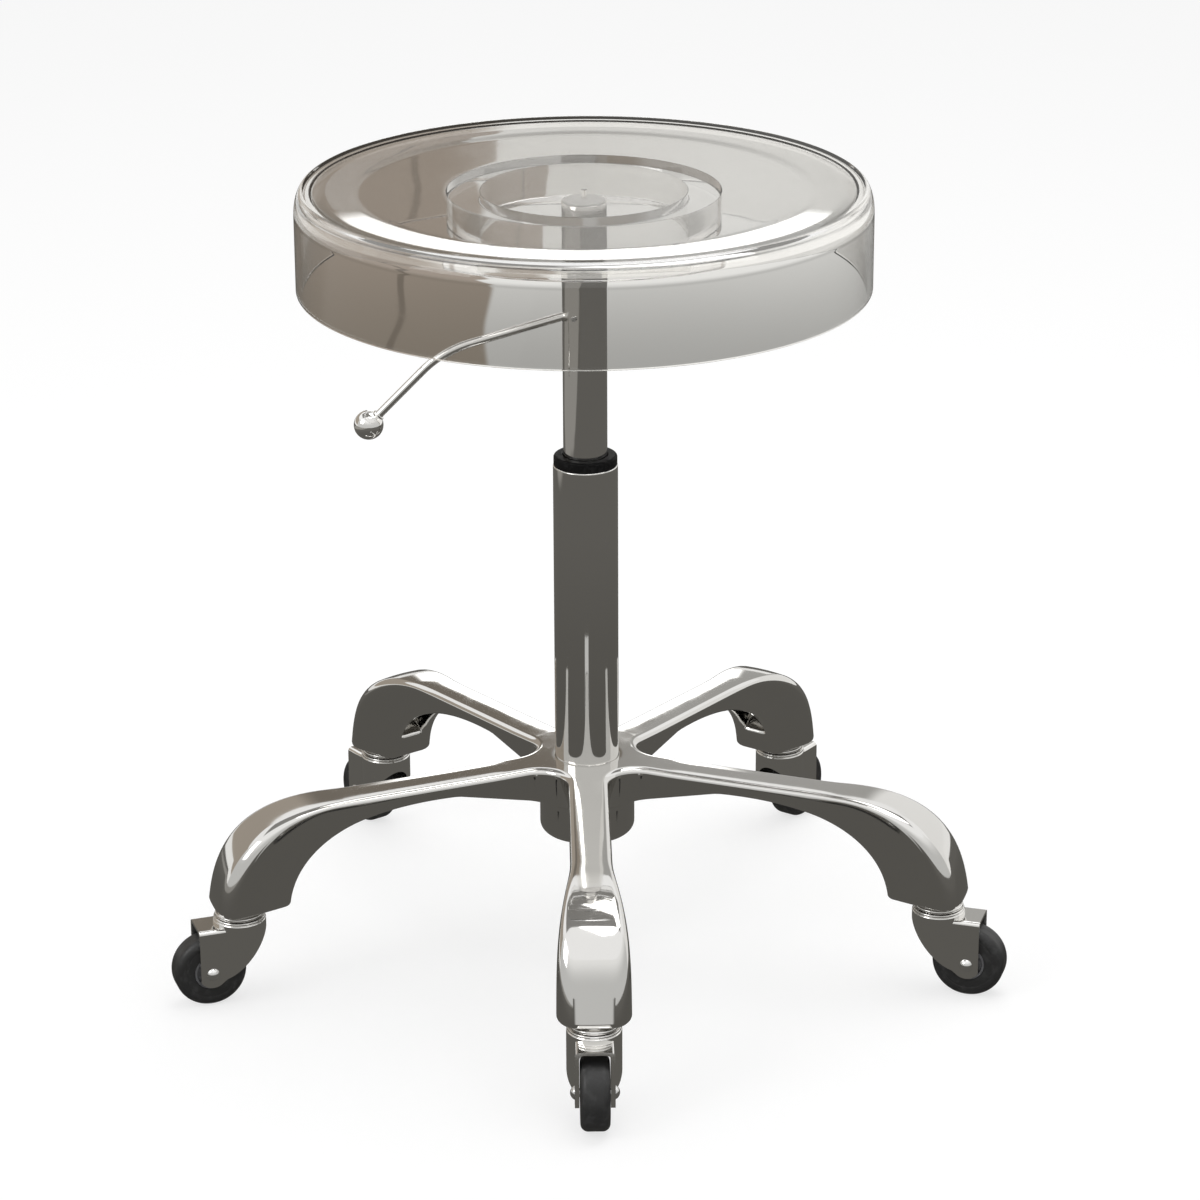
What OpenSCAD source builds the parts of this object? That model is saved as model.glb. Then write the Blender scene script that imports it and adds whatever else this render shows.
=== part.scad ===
// Clear swivel stool on a polished five-leg base with casters.
// Millimetres. The floor is at z = 0 and the column's axis is at x = y = 0. One leg points along -Y.

/* [Seat] */
// Outer diameter of the clear seat
seat_d = 384; // [350:2:420]
// Height of the seat's crown above the floor
seat_top_z = 553; // [546:1:556]
// Height of the seat from the skirt's lower edge to its crown
seat_h = 69; // [60:1:80]
// Wall of the skirt
skirt_wall = 4; // [3:0.5:6]
// Thickness of the seat's top plate
plate_t = 4.5; // [4:0.5:8]
// Width of the rolled rim, from the skirt's face to its crest
rim_roll_w = 6.5; // [5:0.5:10]
// Height of the rolled rim's outer curve
rim_roll_h = 17; // [12:1:26]
// Width of the slope from the crest down to the dish
rim_slope_w = 15; // [10:1:22]
// Depth of the dish beside the rim
dish_depth = 5; // [2:0.5:8]
// Diameter of the flat middle of the seat
flat_d = 200; // [190:5:230]
// Outer diameter of the support ring
ring_d = 182; // [150:2:190]
// Wall of the support ring
ring_wall = 22; // [10:1:26]
// Height of the support ring
ring_h = 29; // [18:1:36]
// Diameter of the boss between the seat and the column
boss_d = 79; // [60:1:90]
// Thickness of that boss
boss_t = 10.5; // [8:0.5:14]

/* [Column] */
// Outer diameter of the upper tube
upper_tube_d = 30; // [28:0.5:32]
// Wall of the upper tube
upper_tube_wall = 1.5; // [1.2:0.1:2]
// Outer diameter of the stand tube
stand_tube_d = 44.2; // [43:0.2:50]
// Wall of the stand tube
stand_tube_wall = 2; // [1.5:0.1:2.5]
// Height of the stand tube's top above the floor
stand_top_z = 358; // [350:2:364]
// Height of the black collar above the stand tube
collar_h = 7; // [5:0.5:10]
// Length of the guide bush inside the stand tube
bush_l = 74; // [50:2:80]
// Outer diameter of the gas spring's cylinder
cylinder_d = 26.4; // [25:0.1:26.6]
// Height of the lever's axis above the gas spring's cylinder
cylinder_gap = 19; // [15:0.5:24]
// Wall of the gas spring's cylinder
cylinder_wall = 2; // [1.5:0.1:3]
// Diameter of the piston rod
rod_d = 10; // [8:0.5:12]
// Height of the rubber bumper that stops the seat
bumper_h = 11.8; // [8:0.2:16]
// How far the seat goes down from its place in the photograph
travel_down = 85; // [60:1:86]
// How far the seat goes up from its place in the photograph
travel_up = 15; // [5:1:20]

/* [Lever] */
// Diameter of the lever's rod
lever_d = 5.6; // [5:0.1:6.4]
// How far below the column's top the lever's axis leaves the tube
lever_drop = 75; // [70:1:80]
// Direction of the lever seen from above, from +X
lever_azimuth = 184; // [170:1:200]
// Slope of the lever where it leaves the tube
lever_slope_in = 15; // [12:1:20]
// Slope of the lever's outer end
lever_slope_out = 45; // [35:1:50]
// Radius of the lever's bend
lever_bend_r = 75; // [50:5:90]
// Distance from the column's axis to the corner of the bend
lever_bend_at = 95; // [88:0.5:105]
// Distance from the column's axis to the middle of the knob
lever_reach = 146; // [136:1:156]
// Diameter of the ball knob
knob_d = 20; // [16:1:24]
// How far the lever tips, in degrees
lever_swing = 11; // [6:1:12]

/* [Star base] */
// Distance from the column's axis to each caster's stem
stem_circle_r = 252.2; // [245:0.2:262]
// Distance from a caster's stem to the outer face of its leg
nose_l = 18; // [16:0.5:20]
// Rise of the star's top above the undersides of the leg ends
leg_rise = 79; // [75:1:84]
// Fall of a leg's top from the hub to where it bends down
leg_fall = 5; // [2:0.5:8]
// Half width of a leg along its slim part
leg_half_w = 14; // [13:0.25:16]
// Half width of a leg's end
end_half_w = 25; // [23:0.5:28]
// Length over which a leg widens towards its end
widen_l = 106; // [90:2:120]
// Length over which a leg's top bends down to the caster
bend_l = 90; // [76:1:100]
// Distance from the column's axis to the round crotch between two legs
crotch_r = 38.5; // [37:0.5:42]
// Length of a leg's end along the leg
end_l = 50.5; // [48:0.5:54]
// Depth of a leg at the hub
root_depth = 32; // [28:1:36]
// Depth of a leg at its thinnest
waist_depth = 9.5; // [8:0.5:12]
// Distance from the column's axis to the thinnest part
waist_at = 97; // [85:1:110]
// Roof left over the channel under each leg
channel_roof = 4.6; // [3.5:0.2:6]
// Half width of the channel under each leg
channel_half_w = 9.6; // [7:0.2:10.5]
// Diameter of the hub
hub_d = 66; // [62:0.5:72]
// Height of the hub
hub_h = 57; // [54:1:62]
// Rounding of the hub's lower edge
hub_round = 7; // [4:0.5:9]

/* [Casters] */
// Diameter of the wheels
wheel_d = 50; // [46:0.5:54]
// Width of the tyres
tyre_w = 19.4; // [16:0.2:20]
// Diameter of the wheel hub inside the tyre
wheel_hub_d = 24; // [22:0.5:32]
// Diameter of the axle
axle_d = 6; // [5:0.5:7]
// Diameter of the axle's domed heads
axle_head_d = 9; // [8:0.5:10]
// Distance that a wheel trails behind its stem
caster_trail = 22.8; // [20:0.2:26]
// Diameter of the fork's barrel
barrel_d = 36.4; // [35:0.2:39]
// Sheet thickness of the fork
fork_wall = 2.9; // [2.2:0.1:3.4]
// Thickness of the fork's top over its barrel
fork_top_t = 4.4; // [3.6:0.1:5]
// How far the plate over the wheel lies below the barrel's top
plate_drop = 2.4; // [1.6:0.1:2.8]
// Free height between a tyre and the fork over it
tyre_headroom = 5.6; // [5:0.1:7]
// Diameter of the stems
stem_d = 11; // [10:0.5:12]
// Length of a stem inside its leg
stem_grip = 38; // [30:1:40]

/* [Hidden] */
$fn = 96;
// Radial clearance of parts that turn or slide in each other
run_clear = 0.05;
// Clearance between faces of parts that move past each other
face_clear = 0.3;
// Overshoot of cutting shapes
cut = 1;
leg_count = 5;
leg_step = 360 / leg_count;
function leg_azimuth(k) = -90 + leg_step * (k - 1);
LEGS = [1:leg_count];
function names(base) = [for (k = LEGS) str(base, "_", k)];

// Heights of the casters
axle_z = wheel_d / 2;
fork_top_z = wheel_d + tyre_headroom + fork_top_t;
lip_h = 1.8;
cap_h = 3;
neck_h = 1.4;
leg_end_z = fork_top_z + lip_h + cap_h + neck_h;

// Heights of the base
star_top_z = leg_end_z + leg_rise;
hub_bottom_z = star_top_z - hub_h;
tube_seat_h = 10;
tube_bottom_z = hub_bottom_z + tube_seat_h;
plate_gap = 4;
base_plate_t = 4;
base_plate_z = tube_bottom_z + plate_gap;
bearing_z = base_plate_z + base_plate_t;
bearing_h = 6;
bumper_z = bearing_z + bearing_h;
collar_top_z = stand_top_z + collar_h;
rod_inset = 3;
rod_bottom_z = hub_bottom_z + rod_inset;

// Heights of the seat
skirt_bottom_z = seat_top_z - seat_h;
plate_under_z = seat_top_z - plate_t;
column_top_z = plate_under_z - boss_t;
seat_r = seat_d / 2;

// Radii of the column
upper_r = upper_tube_d / 2;
upper_inner_r = upper_r - upper_tube_wall;
stand_r = stand_tube_d / 2;
stand_inner_r = stand_r - stand_tube_wall;
cylinder_r = cylinder_d / 2;
cylinder_inner_r = cylinder_r - cylinder_wall;
cylinder_head_t = 9;
button_d = 8;

// The upper tube reaches from the seat's boss down to its stop over the bumper
stop_gap = 3;
upper_tube_z = bumper_z + bumper_h + stop_gap + travel_down;
upper_tube_l = column_top_z - upper_tube_z;
lever_z = column_top_z - lever_drop;
// The cylinder fills the tube up to the lever
cylinder_inset = 2;
cylinder_z = upper_tube_z + cylinder_inset;
cylinder_l = lever_z - cylinder_gap - cylinder_z;
// The travel sets the rod's top and the sleeve that stops the seat's rise
head_h = 10;
head_free = 3 * stop_gap;
rod_top_z = cylinder_z + cylinder_l - cylinder_head_t - travel_down - head_free;
guide_h = rod_top_z - head_h - travel_up - stop_gap - cylinder_z;

// A point on the cubic curve through four control points
function bezier(p, t) =
    p[0] * pow(1 - t, 3) + 3 * p[1] * pow(1 - t, 2) * t + 3 * p[2] * (1 - t) * pow(t, 2)
    + p[3] * pow(t, 3);
function unit(v) = v / norm(v);
function smooth(x) = let(c = min(1, max(0, x))) c * c * (3 - 2 * c);

// Seat

// The seat's outline in the plane of revolution, over the flat middle, the dish and the rolled rim
rim_steps = 8;
crest_r = seat_r - rim_roll_w;
dish_r = crest_r - rim_slope_w;
dish_z = seat_top_z - dish_depth;
function seat_outside() = concat(
    [[0, seat_top_z], [flat_d / 2, seat_top_z]],
    [for (i = [1:rim_steps - 1]) let(x = i / rim_steps)
        [flat_d / 2 + (dish_r - flat_d / 2) * x, seat_top_z - dish_depth * smooth(x)]],
    [for (i = [0:rim_steps]) let(x = i / rim_steps)
        [dish_r + rim_slope_w * x, dish_z + dish_depth * smooth(x)]],
    [for (i = [1:rim_steps]) let(a = 90 - 90 * i / rim_steps)
        [crest_r + rim_roll_w * cos(a), seat_top_z - rim_roll_h * (1 - sin(a))]]);
// The inside follows the outside at the plate's thickness and rounds into the skirt
inner_roll_r = 0.6 * (rim_roll_h + plate_t);
dish_under_r = dish_r - 8;
ring_free = 4;
inner_top_z = dish_z - plate_t;
function seat_inside() = concat(
    [for (i = [0:rim_steps]) let(a = 90 * i / rim_steps)
        [seat_r - skirt_wall - inner_roll_r * (1 - cos(a)),
         inner_top_z - inner_roll_r * (1 - sin(a))]],
    [for (i = [0:rim_steps]) let(x = 1 - i / rim_steps, near = ring_d / 2 + ring_free)
        [near + (dish_under_r - near) * x, plate_under_z - dish_depth * smooth(x)]],
    [[0, plate_under_z]]);
lip_r = 1.6;

module seat_shell()
    color([0.86, 0.86, 0.85, 0.35])
        rotate_extrude() polygon(concat(seat_outside(), [
            [seat_r, skirt_bottom_z + lip_r],
            [seat_r - lip_r, skirt_bottom_z],
            [seat_r - skirt_wall, skirt_bottom_z]], seat_inside()));

module support_ring()
    color([0.84, 0.85, 0.85, 0.35])
        translate([0, 0, plate_under_z - ring_h])
            difference() {
                cylinder(d = ring_d, h = ring_h);
                translate([0, 0, -cut])
                    cylinder(r = ring_d / 2 - ring_wall, h = ring_h + 2 * cut);
            }

stud_d = 10;
stud_cover = 2;
stud_l = boss_t - stud_cover;
module seat_boss()
    color([0.84, 0.85, 0.85, 0.35])
        difference() {
            translate([0, 0, column_top_z]) cylinder(d = boss_d, h = boss_t);
            translate([0, 0, column_top_z - cut])
                cylinder(r = stud_d / 2 + run_clear, h = stud_l + run_clear + cut);
        }

// Column

plug_h = 22;
module column_plug()
    color([0.80, 0.80, 0.79]) {
        translate([0, 0, column_top_z - plug_h])
            cylinder(r = upper_inner_r - run_clear, h = plug_h);
        translate([0, 0, column_top_z - cut]) cylinder(d = stud_d, h = stud_l + cut);
    }

// The slot lets the lever tip about its pin without touching the tube
pin_at = 8.6;
pin_d = 3;
pin_z = lever_z + (upper_r - pin_at) * tan(lever_slope_in);
slot_w = lever_d + 2 * face_clear;
slot_top = slot_w / 2 + (upper_r - pin_at) * tan(lever_swing) + face_clear;
slot_bottom = slot_w / 2 + 2 * face_clear;

module in_lever_frame()
    rotate([0, 0, lever_azimuth]) children();

module upper_tube()
    color([0.72, 0.71, 0.68])
        difference() {
            translate([0, 0, upper_tube_z]) cylinder(r = upper_r, h = upper_tube_l);
            translate([0, 0, upper_tube_z - cut])
                cylinder(r = upper_inner_r, h = upper_tube_l + 2 * cut);
            in_lever_frame() {
                translate([0, -slot_w / 2, lever_z - slot_bottom])
                    cube([upper_r + cut, slot_w, slot_top + slot_bottom]);
                translate([pin_at, upper_r + cut, pin_z]) rotate([90, 0, 0])
                    cylinder(d = pin_d, h = upper_tube_d + 2 * cut);
            }
        }

module gas_cylinder()
    color([0.22, 0.22, 0.23])
        difference() {
            translate([0, 0, cylinder_z]) cylinder(r = cylinder_r, h = cylinder_l);
            translate([0, 0, cylinder_z - cut])
                cylinder(r = cylinder_inner_r, h = cylinder_l - cylinder_head_t + cut);
            translate([0, 0, cylinder_z + cylinder_l - cylinder_head_t - cut])
                cylinder(r = button_d / 2 + run_clear, h = cylinder_head_t + 2 * cut);
        }

module rod_guide()
    color([0.16, 0.16, 0.17])
        translate([0, 0, cylinder_z])
            difference() {
                cylinder(r = cylinder_inner_r - run_clear, h = guide_h);
                translate([0, 0, -cut])
                    cylinder(r = rod_d / 2 + run_clear, h = guide_h + 2 * cut);
            }

paddle_t = 4;
paddle_w = 8;
paddle_in = 4.4;
button_top_z = pin_z - paddle_t / 2 - face_clear;
button_free = 1.5;
button_z = cylinder_z + cylinder_l - cylinder_head_t + button_free;

module release_button()
    color([0.85, 0.70, 0.35])
        translate([0, 0, button_z]) cylinder(d = button_d, h = button_top_z - button_z);

pin_inset = 0.2;
module lever_pin()
    color([0.70, 0.70, 0.70])
        in_lever_frame()
            translate([pin_at, upper_r - pin_inset, pin_z]) rotate([90, 0, 0])
                cylinder(d = pin_d - 2 * run_clear, h = upper_tube_d - 2 * pin_inset);

// The lever runs out of the tube on its inner slope, round the bend and down its outer slope
lever_turn = lever_slope_out - lever_slope_in;
bend_tangent = lever_bend_r * tan(lever_turn / 2);
corner_z = lever_z - (lever_bend_at - upper_r) * tan(lever_slope_in);
bend_start = [lever_bend_at - bend_tangent * cos(lever_slope_in),
              corner_z + bend_tangent * sin(lever_slope_in)];
bend_end = [lever_bend_at + bend_tangent * cos(lever_slope_out),
            corner_z - bend_tangent * sin(lever_slope_out)];
knob_z = corner_z - (lever_reach - lever_bend_at) * tan(lever_slope_out);
straight_in = norm(bend_start - [pin_at, pin_z]);
straight_out = norm([lever_reach, knob_z] - bend_end);
knob_grip = 3;
pivot_r = 3.2;
// A low weld bead bridges the gap between each straight and the bend
weld_h = 0.05;
weld_gap = 0.1;

module release_lever()
    color([0.74, 0.73, 0.70])
        in_lever_frame() {
            difference() {
                union() {
                    translate([-paddle_in, -paddle_w / 2, pin_z - paddle_t / 2])
                        cube([paddle_in + pin_at, paddle_w, paddle_t]);
                    translate([pin_at, paddle_w / 2, pin_z]) rotate([90, 0, 0])
                        cylinder(r = pivot_r, h = paddle_w);
                    translate([pin_at, 0, pin_z]) rotate([0, 90 + lever_slope_in, 0])
                        cylinder(d = lever_d, h = straight_in - weld_gap);
                }
                translate([pin_at, paddle_w, pin_z]) rotate([90, 0, 0])
                    cylinder(r = pin_d / 2 + run_clear, h = 2 * paddle_w);
            }
            translate([bend_start[0], 0, bend_start[1]])
                rotate([0, lever_slope_in, 0])
                    translate([0, 0, -lever_bend_r]) rotate([90, 0, 0])
                        rotate([0, 0, 90 - lever_turn])
                            rotate_extrude(angle = lever_turn)
                                translate([lever_bend_r, 0]) circle(d = lever_d);
            for (p = [bend_start, bend_end])
                translate([p[0], 0, p[1]]) sphere(d = lever_d + 2 * weld_h);
            translate([bend_end[0], 0, bend_end[1]]) rotate([0, 90 + lever_slope_out, 0])
                translate([0, 0, weld_gap])
                    cylinder(d = lever_d, h = straight_out - knob_d / 2 + knob_grip - weld_gap);
        }

// The ball has a small flat collar where the rod enters it
knob_collar_w = 1.3;
knob_collar_h = 0.5;
module lever_knob()
    color([0.76, 0.75, 0.73])
        in_lever_frame()
            translate([lever_reach, 0, knob_z]) rotate([0, lever_slope_out - 90, 0])
                difference() {
                    union() {
                        sphere(d = knob_d);
                        cylinder(r = lever_d / 2 + knob_collar_w, h = knob_d / 2 + knob_collar_h);
                    }
                    translate([0, 0, knob_d / 2 - knob_grip - run_clear])
                        cylinder(r = lever_d / 2 + run_clear, h = knob_d);
                }

// Spindle

groove_w = 1.4;
groove_depth = 1;
clip_gap = 0.3;
washer_t = 1.6;
clip_z = base_plate_z - clip_gap - washer_t - groove_w;

module piston_rod()
    color([0.78, 0.78, 0.78])
        difference() {
            translate([0, 0, rod_bottom_z]) cylinder(d = rod_d, h = rod_top_z - rod_bottom_z);
            translate([0, 0, clip_z]) difference() {
                cylinder(d = rod_d + 2 * cut, h = groove_w);
                translate([0, 0, -cut]) cylinder(r = rod_d / 2 - groove_depth, h = groove_w + 2 * cut);
            }
        }

head_cap = 1;
module piston_head()
    color([0.30, 0.30, 0.32])
        translate([0, 0, rod_top_z - head_h])
            difference() {
                cylinder(r = cylinder_inner_r - run_clear, h = head_h + head_cap);
                translate([0, 0, -cut]) cylinder(r = rod_d / 2 + run_clear, h = head_h + cut);
            }

// The washer and the clip under the base plate, as two solids
clip_d = 17;
washer_d = 20;
washer_gap = 0.02;
clip_free = 0.1;
module retaining_clip()
    color([0.55, 0.55, 0.56]) {
        translate([0, 0, clip_z + groove_w + washer_gap]) difference() {
            cylinder(d = washer_d, h = washer_t - washer_gap);
            translate([0, 0, -cut]) cylinder(r = rod_d / 2 + run_clear, h = washer_t + 2 * cut);
        }
        translate([0, 0, clip_z + clip_free]) difference() {
            cylinder(d = clip_d, h = groove_w - 2 * clip_free);
            translate([0, 0, -cut])
                cylinder(r = rod_d / 2 - groove_depth + run_clear, h = groove_w + 2 * cut);
            translate([0, -rod_d / 2 + groove_depth, -cut])
                cube([clip_d, rod_d - 2 * groove_depth, groove_w + 2 * cut]);
        }
    }

// Stand

collar_inset = 0.4;
collar_bevel = 1.5;
collar_r = stand_r - collar_inset;
module guide_bush()
    color([0.07, 0.07, 0.07])
        difference() {
            union() {
                translate([0, 0, stand_top_z - bush_l])
                    cylinder(r = stand_inner_r - run_clear, h = bush_l + cut);
                translate([0, 0, stand_top_z]) cylinder(r = collar_r, h = collar_h - collar_bevel);
                translate([0, 0, collar_top_z - collar_bevel])
                    cylinder(r1 = collar_r, r2 = collar_r - collar_bevel, h = collar_bevel);
            }
            translate([0, 0, stand_top_z - bush_l - cut])
                cylinder(r = upper_r + run_clear, h = bush_l + collar_h + 2 * cut);
        }

module stand_tube()
    color([0.72, 0.71, 0.68])
        difference() {
            translate([0, 0, tube_bottom_z])
                cylinder(r = stand_r, h = stand_top_z - tube_bottom_z);
            translate([0, 0, tube_bottom_z - cut])
                cylinder(r = stand_inner_r, h = stand_top_z - tube_bottom_z + 2 * cut);
        }

module base_plate()
    color([0.60, 0.60, 0.60])
        translate([0, 0, base_plate_z])
            difference() {
                cylinder(r = stand_inner_r - run_clear, h = base_plate_t);
                translate([0, 0, -cut])
                    cylinder(r = rod_d / 2 + run_clear, h = base_plate_t + 2 * cut);
            }

bearing_d = 24;
race_t = 1.5;
track_wall = 1.5;
ball_count = 8;
ball_r = bearing_h / 2 - race_t + run_clear;
ball_circle_r = (bearing_d + rod_d) / 4 + track_wall / 2;
module thrust_bearing()
    color([0.62, 0.63, 0.65])
        translate([0, 0, bearing_z]) {
            difference() {
                cylinder(d = bearing_d, h = bearing_h);
                translate([0, 0, -cut]) cylinder(r = rod_d / 2 + run_clear, h = bearing_h + 2 * cut);
                translate([0, 0, race_t]) difference() {
                    cylinder(d = bearing_d + 2 * cut, h = bearing_h - 2 * race_t);
                    translate([0, 0, -cut]) cylinder(r = rod_d / 2 + track_wall, h = bearing_h);
                }
            }
            for (i = [1:ball_count]) rotate([0, 0, 360 / ball_count * i])
                translate([ball_circle_r, 0, bearing_h / 2]) sphere(r = ball_r);
        }

bumper_d = 22;
bumper_step = 3;
module rubber_bumper()
    color([0.12, 0.12, 0.12])
        translate([0, 0, bumper_z])
            difference() {
                union() {
                    cylinder(d = bumper_d, h = bumper_h - bumper_step);
                    cylinder(d = bumper_d - 2 * bumper_step, h = bumper_h);
                }
                translate([0, 0, -cut]) cylinder(r = rod_d / 2 + run_clear, h = bumper_h + 2 * cut);
            }

// Star base

// The top of a leg runs almost level from the hub and then turns down to the caster
nose_r = stem_circle_r + nose_l;
heel_r = nose_r - end_l;
foot_h = 5;
foot_z = leg_end_z + foot_h;
heel_lift = 3;
root_r = 12;
root_z = star_top_z - root_depth;
bend_from = nose_r - bend_l;
bend_z = star_top_z - leg_fall;
bend_dip = 0.3;
nose_lean = 6;
top_bend = [
    [bend_from, bend_z],
    [bend_from + 0.62 * bend_l, bend_z - bend_dip],
    [nose_r - nose_lean, star_top_z - 0.37 * (star_top_z - foot_z)],
    [nose_r, foot_z]];
// The underside of a leg rises from the hub to the waist and then sweeps down to the heel
waist_z = bend_z - waist_depth;
waist_rise = 1.5;
heel_lean = 7;
under_bend = [
    [waist_at, waist_z],
    [waist_at + 0.54 * (heel_r - waist_at), waist_z + waist_rise],
    [heel_r - heel_lean, star_top_z - 0.42 * (star_top_z - foot_z)],
    [heel_r, foot_z + heel_lift]];

// Two legs meet in a round crotch, whose fillet runs out along both of them
hub_r = hub_d / 2;
half_step = leg_step / 2;
corner_r = leg_half_w / sin(half_step);
fillet_r = (crotch_r - corner_r) / (1 / sin(half_step) - 1);
fillet_end = corner_r * cos(half_step) + fillet_r / tan(half_step);
crotch_s = crotch_r * cos(half_step);
function fillet(s) =
    let(x = fillet_end - max(s, crotch_s)) x < 0 ? 0 : fillet_r - sqrt(pow(fillet_r, 2) - x * x);
function leg_width(s) =
    leg_half_w + fillet(s) + (end_half_w - leg_half_w) * smooth((s - nose_r + widen_l) / widen_l);
// The rounding of a leg's upper edge grows towards the nose
edge_l = 80;
leg_edge = [5, 4];
nose_edge = [12, 10];
function edge(s) = leg_edge + (nose_edge - leg_edge) * smooth((s - nose_r + edge_l) / edge_l);

// A share of the underside's curve, found by halving, that lies at a distance from the axis
function under_share(s, low = 0, high = 1, n = 24) =
    let(m = (low + high) / 2)
        n == 0 ? m : bezier(under_bend, m)[0] < s ? under_share(s, m, high, n - 1)
                                                  : under_share(s, low, m, n - 1);
function top_at(s) = star_top_z - leg_fall * (s - root_r) / (bend_from - root_r);
function under_at(s) =
    s < waist_at ? root_z + (waist_z - root_z) * (s - root_r) / (waist_at - root_r)
                 : bezier(under_bend, under_share(s))[1];

// Stations along a leg: upright in its straight part, then leaning over round the bend
upright_to = 160;
fillet_steps = 6;
straight_steps = 3;
bend_steps = 16;
level_steps = 2;
upright_s = concat(
    [root_r],
    [for (i = [0:fillet_steps])
        fillet_end - fillet_r * sin((90 - half_step) * (1 - i / fillet_steps))],
    [for (i = [1:straight_steps]) fillet_end + (upright_to - fillet_end) * i / straight_steps]);
lean_from = under_share(upright_to);
stations = concat(
    [for (s = upright_s) [[s, top_at(s)], [s, under_at(s)]]],
    [for (i = [1:bend_steps])
        let(s = upright_to + (bend_from - upright_to) * i / level_steps,
            top = i <= level_steps ? [s, top_at(s)]
                : bezier(top_bend, (i - level_steps) / (bend_steps - level_steps)))
            [top, bezier(under_bend, lean_from + (1 - lean_from) * i / bend_steps)]]);

// One rounded section between an underside point and a top point, in leg coordinates.
// Every point stands in from the width that the leg has at its own distance from the hub.
corner_steps = 4;
under_round = 2.5;
draft = 1;
function leg_section(low, high, rounding, end_inset, side_inset) =
    let(
        up = unit(high - low),
        a = low + up * end_inset,
        h = norm(high - low) - 2 * end_inset,
        rw = rounding[0] - side_inset,
        rh = min(rounding[1] - end_inset, 0.48 * h),
        under = [[draft + under_round, 0], [draft + 0.3 * under_round, 0.3 * under_round],
                 [draft, under_round]],
        wall_h = h - rh - under_round,
        wall = [for (x = [1, 2]) [draft * (1 - x / 3), under_round + wall_h * x / 3]],
        corner = [for (j = [0:corner_steps]) let(q = 90 * j / corner_steps)
            [rw * (1 - cos(q)), h - rh + rh * sin(q)]],
        half = [for (p = concat(under, wall, corner))
            let(s = a[0] + up[0] * p[1]) [s, leg_width(s) - side_inset - p[0], a[1] + up[1] * p[1]]]
    )
    concat(half, [for (i = [len(half) - 1:-1:0]) [half[i][0], -half[i][1], half[i][2]]]);

foot_steps = 3;
foot_end_inset = 4;
foot_side_inset = 6;
leg_rings = concat(
    [for (p = stations) leg_section(p[1], p[0], edge(p[0][0]), 0, 0)],
    [for (j = [1:foot_steps])
        let(q = 90 * j / foot_steps, drop = foot_h * sin(q), x = 1 - cos(q),
            t = [nose_r, foot_z - drop], u = [heel_r, foot_z + heel_lift - drop])
            leg_section(u, t, nose_edge, foot_end_inset * x, foot_side_inset * x)]);

// A closed skin over a row of rings that all have as many points
module skin(rings) {
    n = len(rings[0]);
    last = len(rings) - 1;
    points = [for (r = rings) each r];
    walls = [for (i = [0:last - 1]) for (j = [0:n - 1])
        let(a = i * n + j, b = i * n + (j + 1) % n)
            each [[a, b + n, b], [a, a + n, b + n]]];
    start = [for (j = [1:n - 2]) [0, j, j + 1]];
    end = [for (j = [1:n - 2]) [last * n, last * n + j + 1, last * n + j]];
    polyhedron(points = points, faces = concat(walls, start, end), convexity = 6);
}

// The channel follows the underside, leaves the roof over it and ends before the heel
channel_from = hub_r + 8;
channel_max = 18;
channel_end = 12;
channel_ends_at = 2;
channel_open = 4;
function channel_depth(i) =
    let(p = stations[i], room = norm(p[0] - p[1]) - channel_roof)
        min(room, channel_end
            + (channel_max - channel_end) * smooth((len(stations) - channel_ends_at - i) / 6));
module leg_channel() {
    steps = [for (i = [2:len(stations) - 1 - channel_ends_at]) i];
    roof = [for (i = steps) let(p = stations[i], up = unit(p[0] - p[1]))
        p[1] + up * channel_depth(i)];
    open = [for (k = [len(steps) - 1:-1:0])
        let(p = stations[steps[k]], up = unit(p[0] - p[1])) p[1] - up * channel_open];
    intersection() {
        translate([0, channel_half_w, 0]) rotate([90, 0, 0])
            linear_extrude(2 * channel_half_w) polygon(concat(roof, open));
        translate([channel_from, -end_half_w, 0]) cube([nose_r, 2 * end_half_w, star_top_z]);
    }
}

// The hub's own top lies under the tops of the legs, which meet over it
hub_sink = 1.5;
ledge_w = 3.5;
barrel_r = barrel_d / 2;
cap_inset = 1.4;
cap_r = barrel_r - cap_inset;
neck_inset = 4;
neck_r = cap_r - neck_inset;
pad_rim = 1;
pad_r = neck_r + pad_rim;
socket_free = 1.5;
module star_base()
    color([0.72, 0.72, 0.70])
        difference() {
            union() {
                translate([0, 0, hub_bottom_z + hub_round])
                    cylinder(r = hub_r, h = hub_h - hub_round - hub_sink);
                translate([0, 0, hub_bottom_z]) rotate_extrude() {
                    square([hub_r - hub_round, hub_round]);
                    translate([hub_r - hub_round, hub_round]) intersection() {
                        circle(r = hub_round);
                        translate([0, -hub_round]) square(hub_round);
                    }
                }
                for (k = LEGS) rotate([0, 0, leg_azimuth(k)]) difference() {
                    union() {
                        skin(leg_rings);
                        translate([stem_circle_r, 0, leg_end_z]) cylinder(r = pad_r, h = foot_h + heel_lift);
                    }
                    leg_channel();
                    translate([stem_circle_r, 0, leg_end_z - cut])
                        cylinder(r = stem_d / 2 + run_clear, h = stem_grip + socket_free + cut);
                }
            }
            translate([0, 0, tube_bottom_z]) cylinder(r = stand_r + run_clear, h = hub_h);
            translate([0, 0, hub_bottom_z - cut]) cylinder(r = stand_r - ledge_w, h = hub_h);
        }

// Casters

module at_caster(k)
    rotate([0, 0, leg_azimuth(k)]) translate([stem_circle_r, 0, 0]) children();

tyre_side_gap = 0.5;
cheek_in = tyre_w / 2 + tyre_side_gap;
cheek_out = cheek_in + fork_wall;
cheek_front = 8.5;
fork_reach = caster_trail + cheek_front;
blend_r = 8;
blend_at = sqrt(pow(barrel_r + blend_r, 2) - pow(cheek_out + blend_r, 2));
lobe_r = 10;

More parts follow.
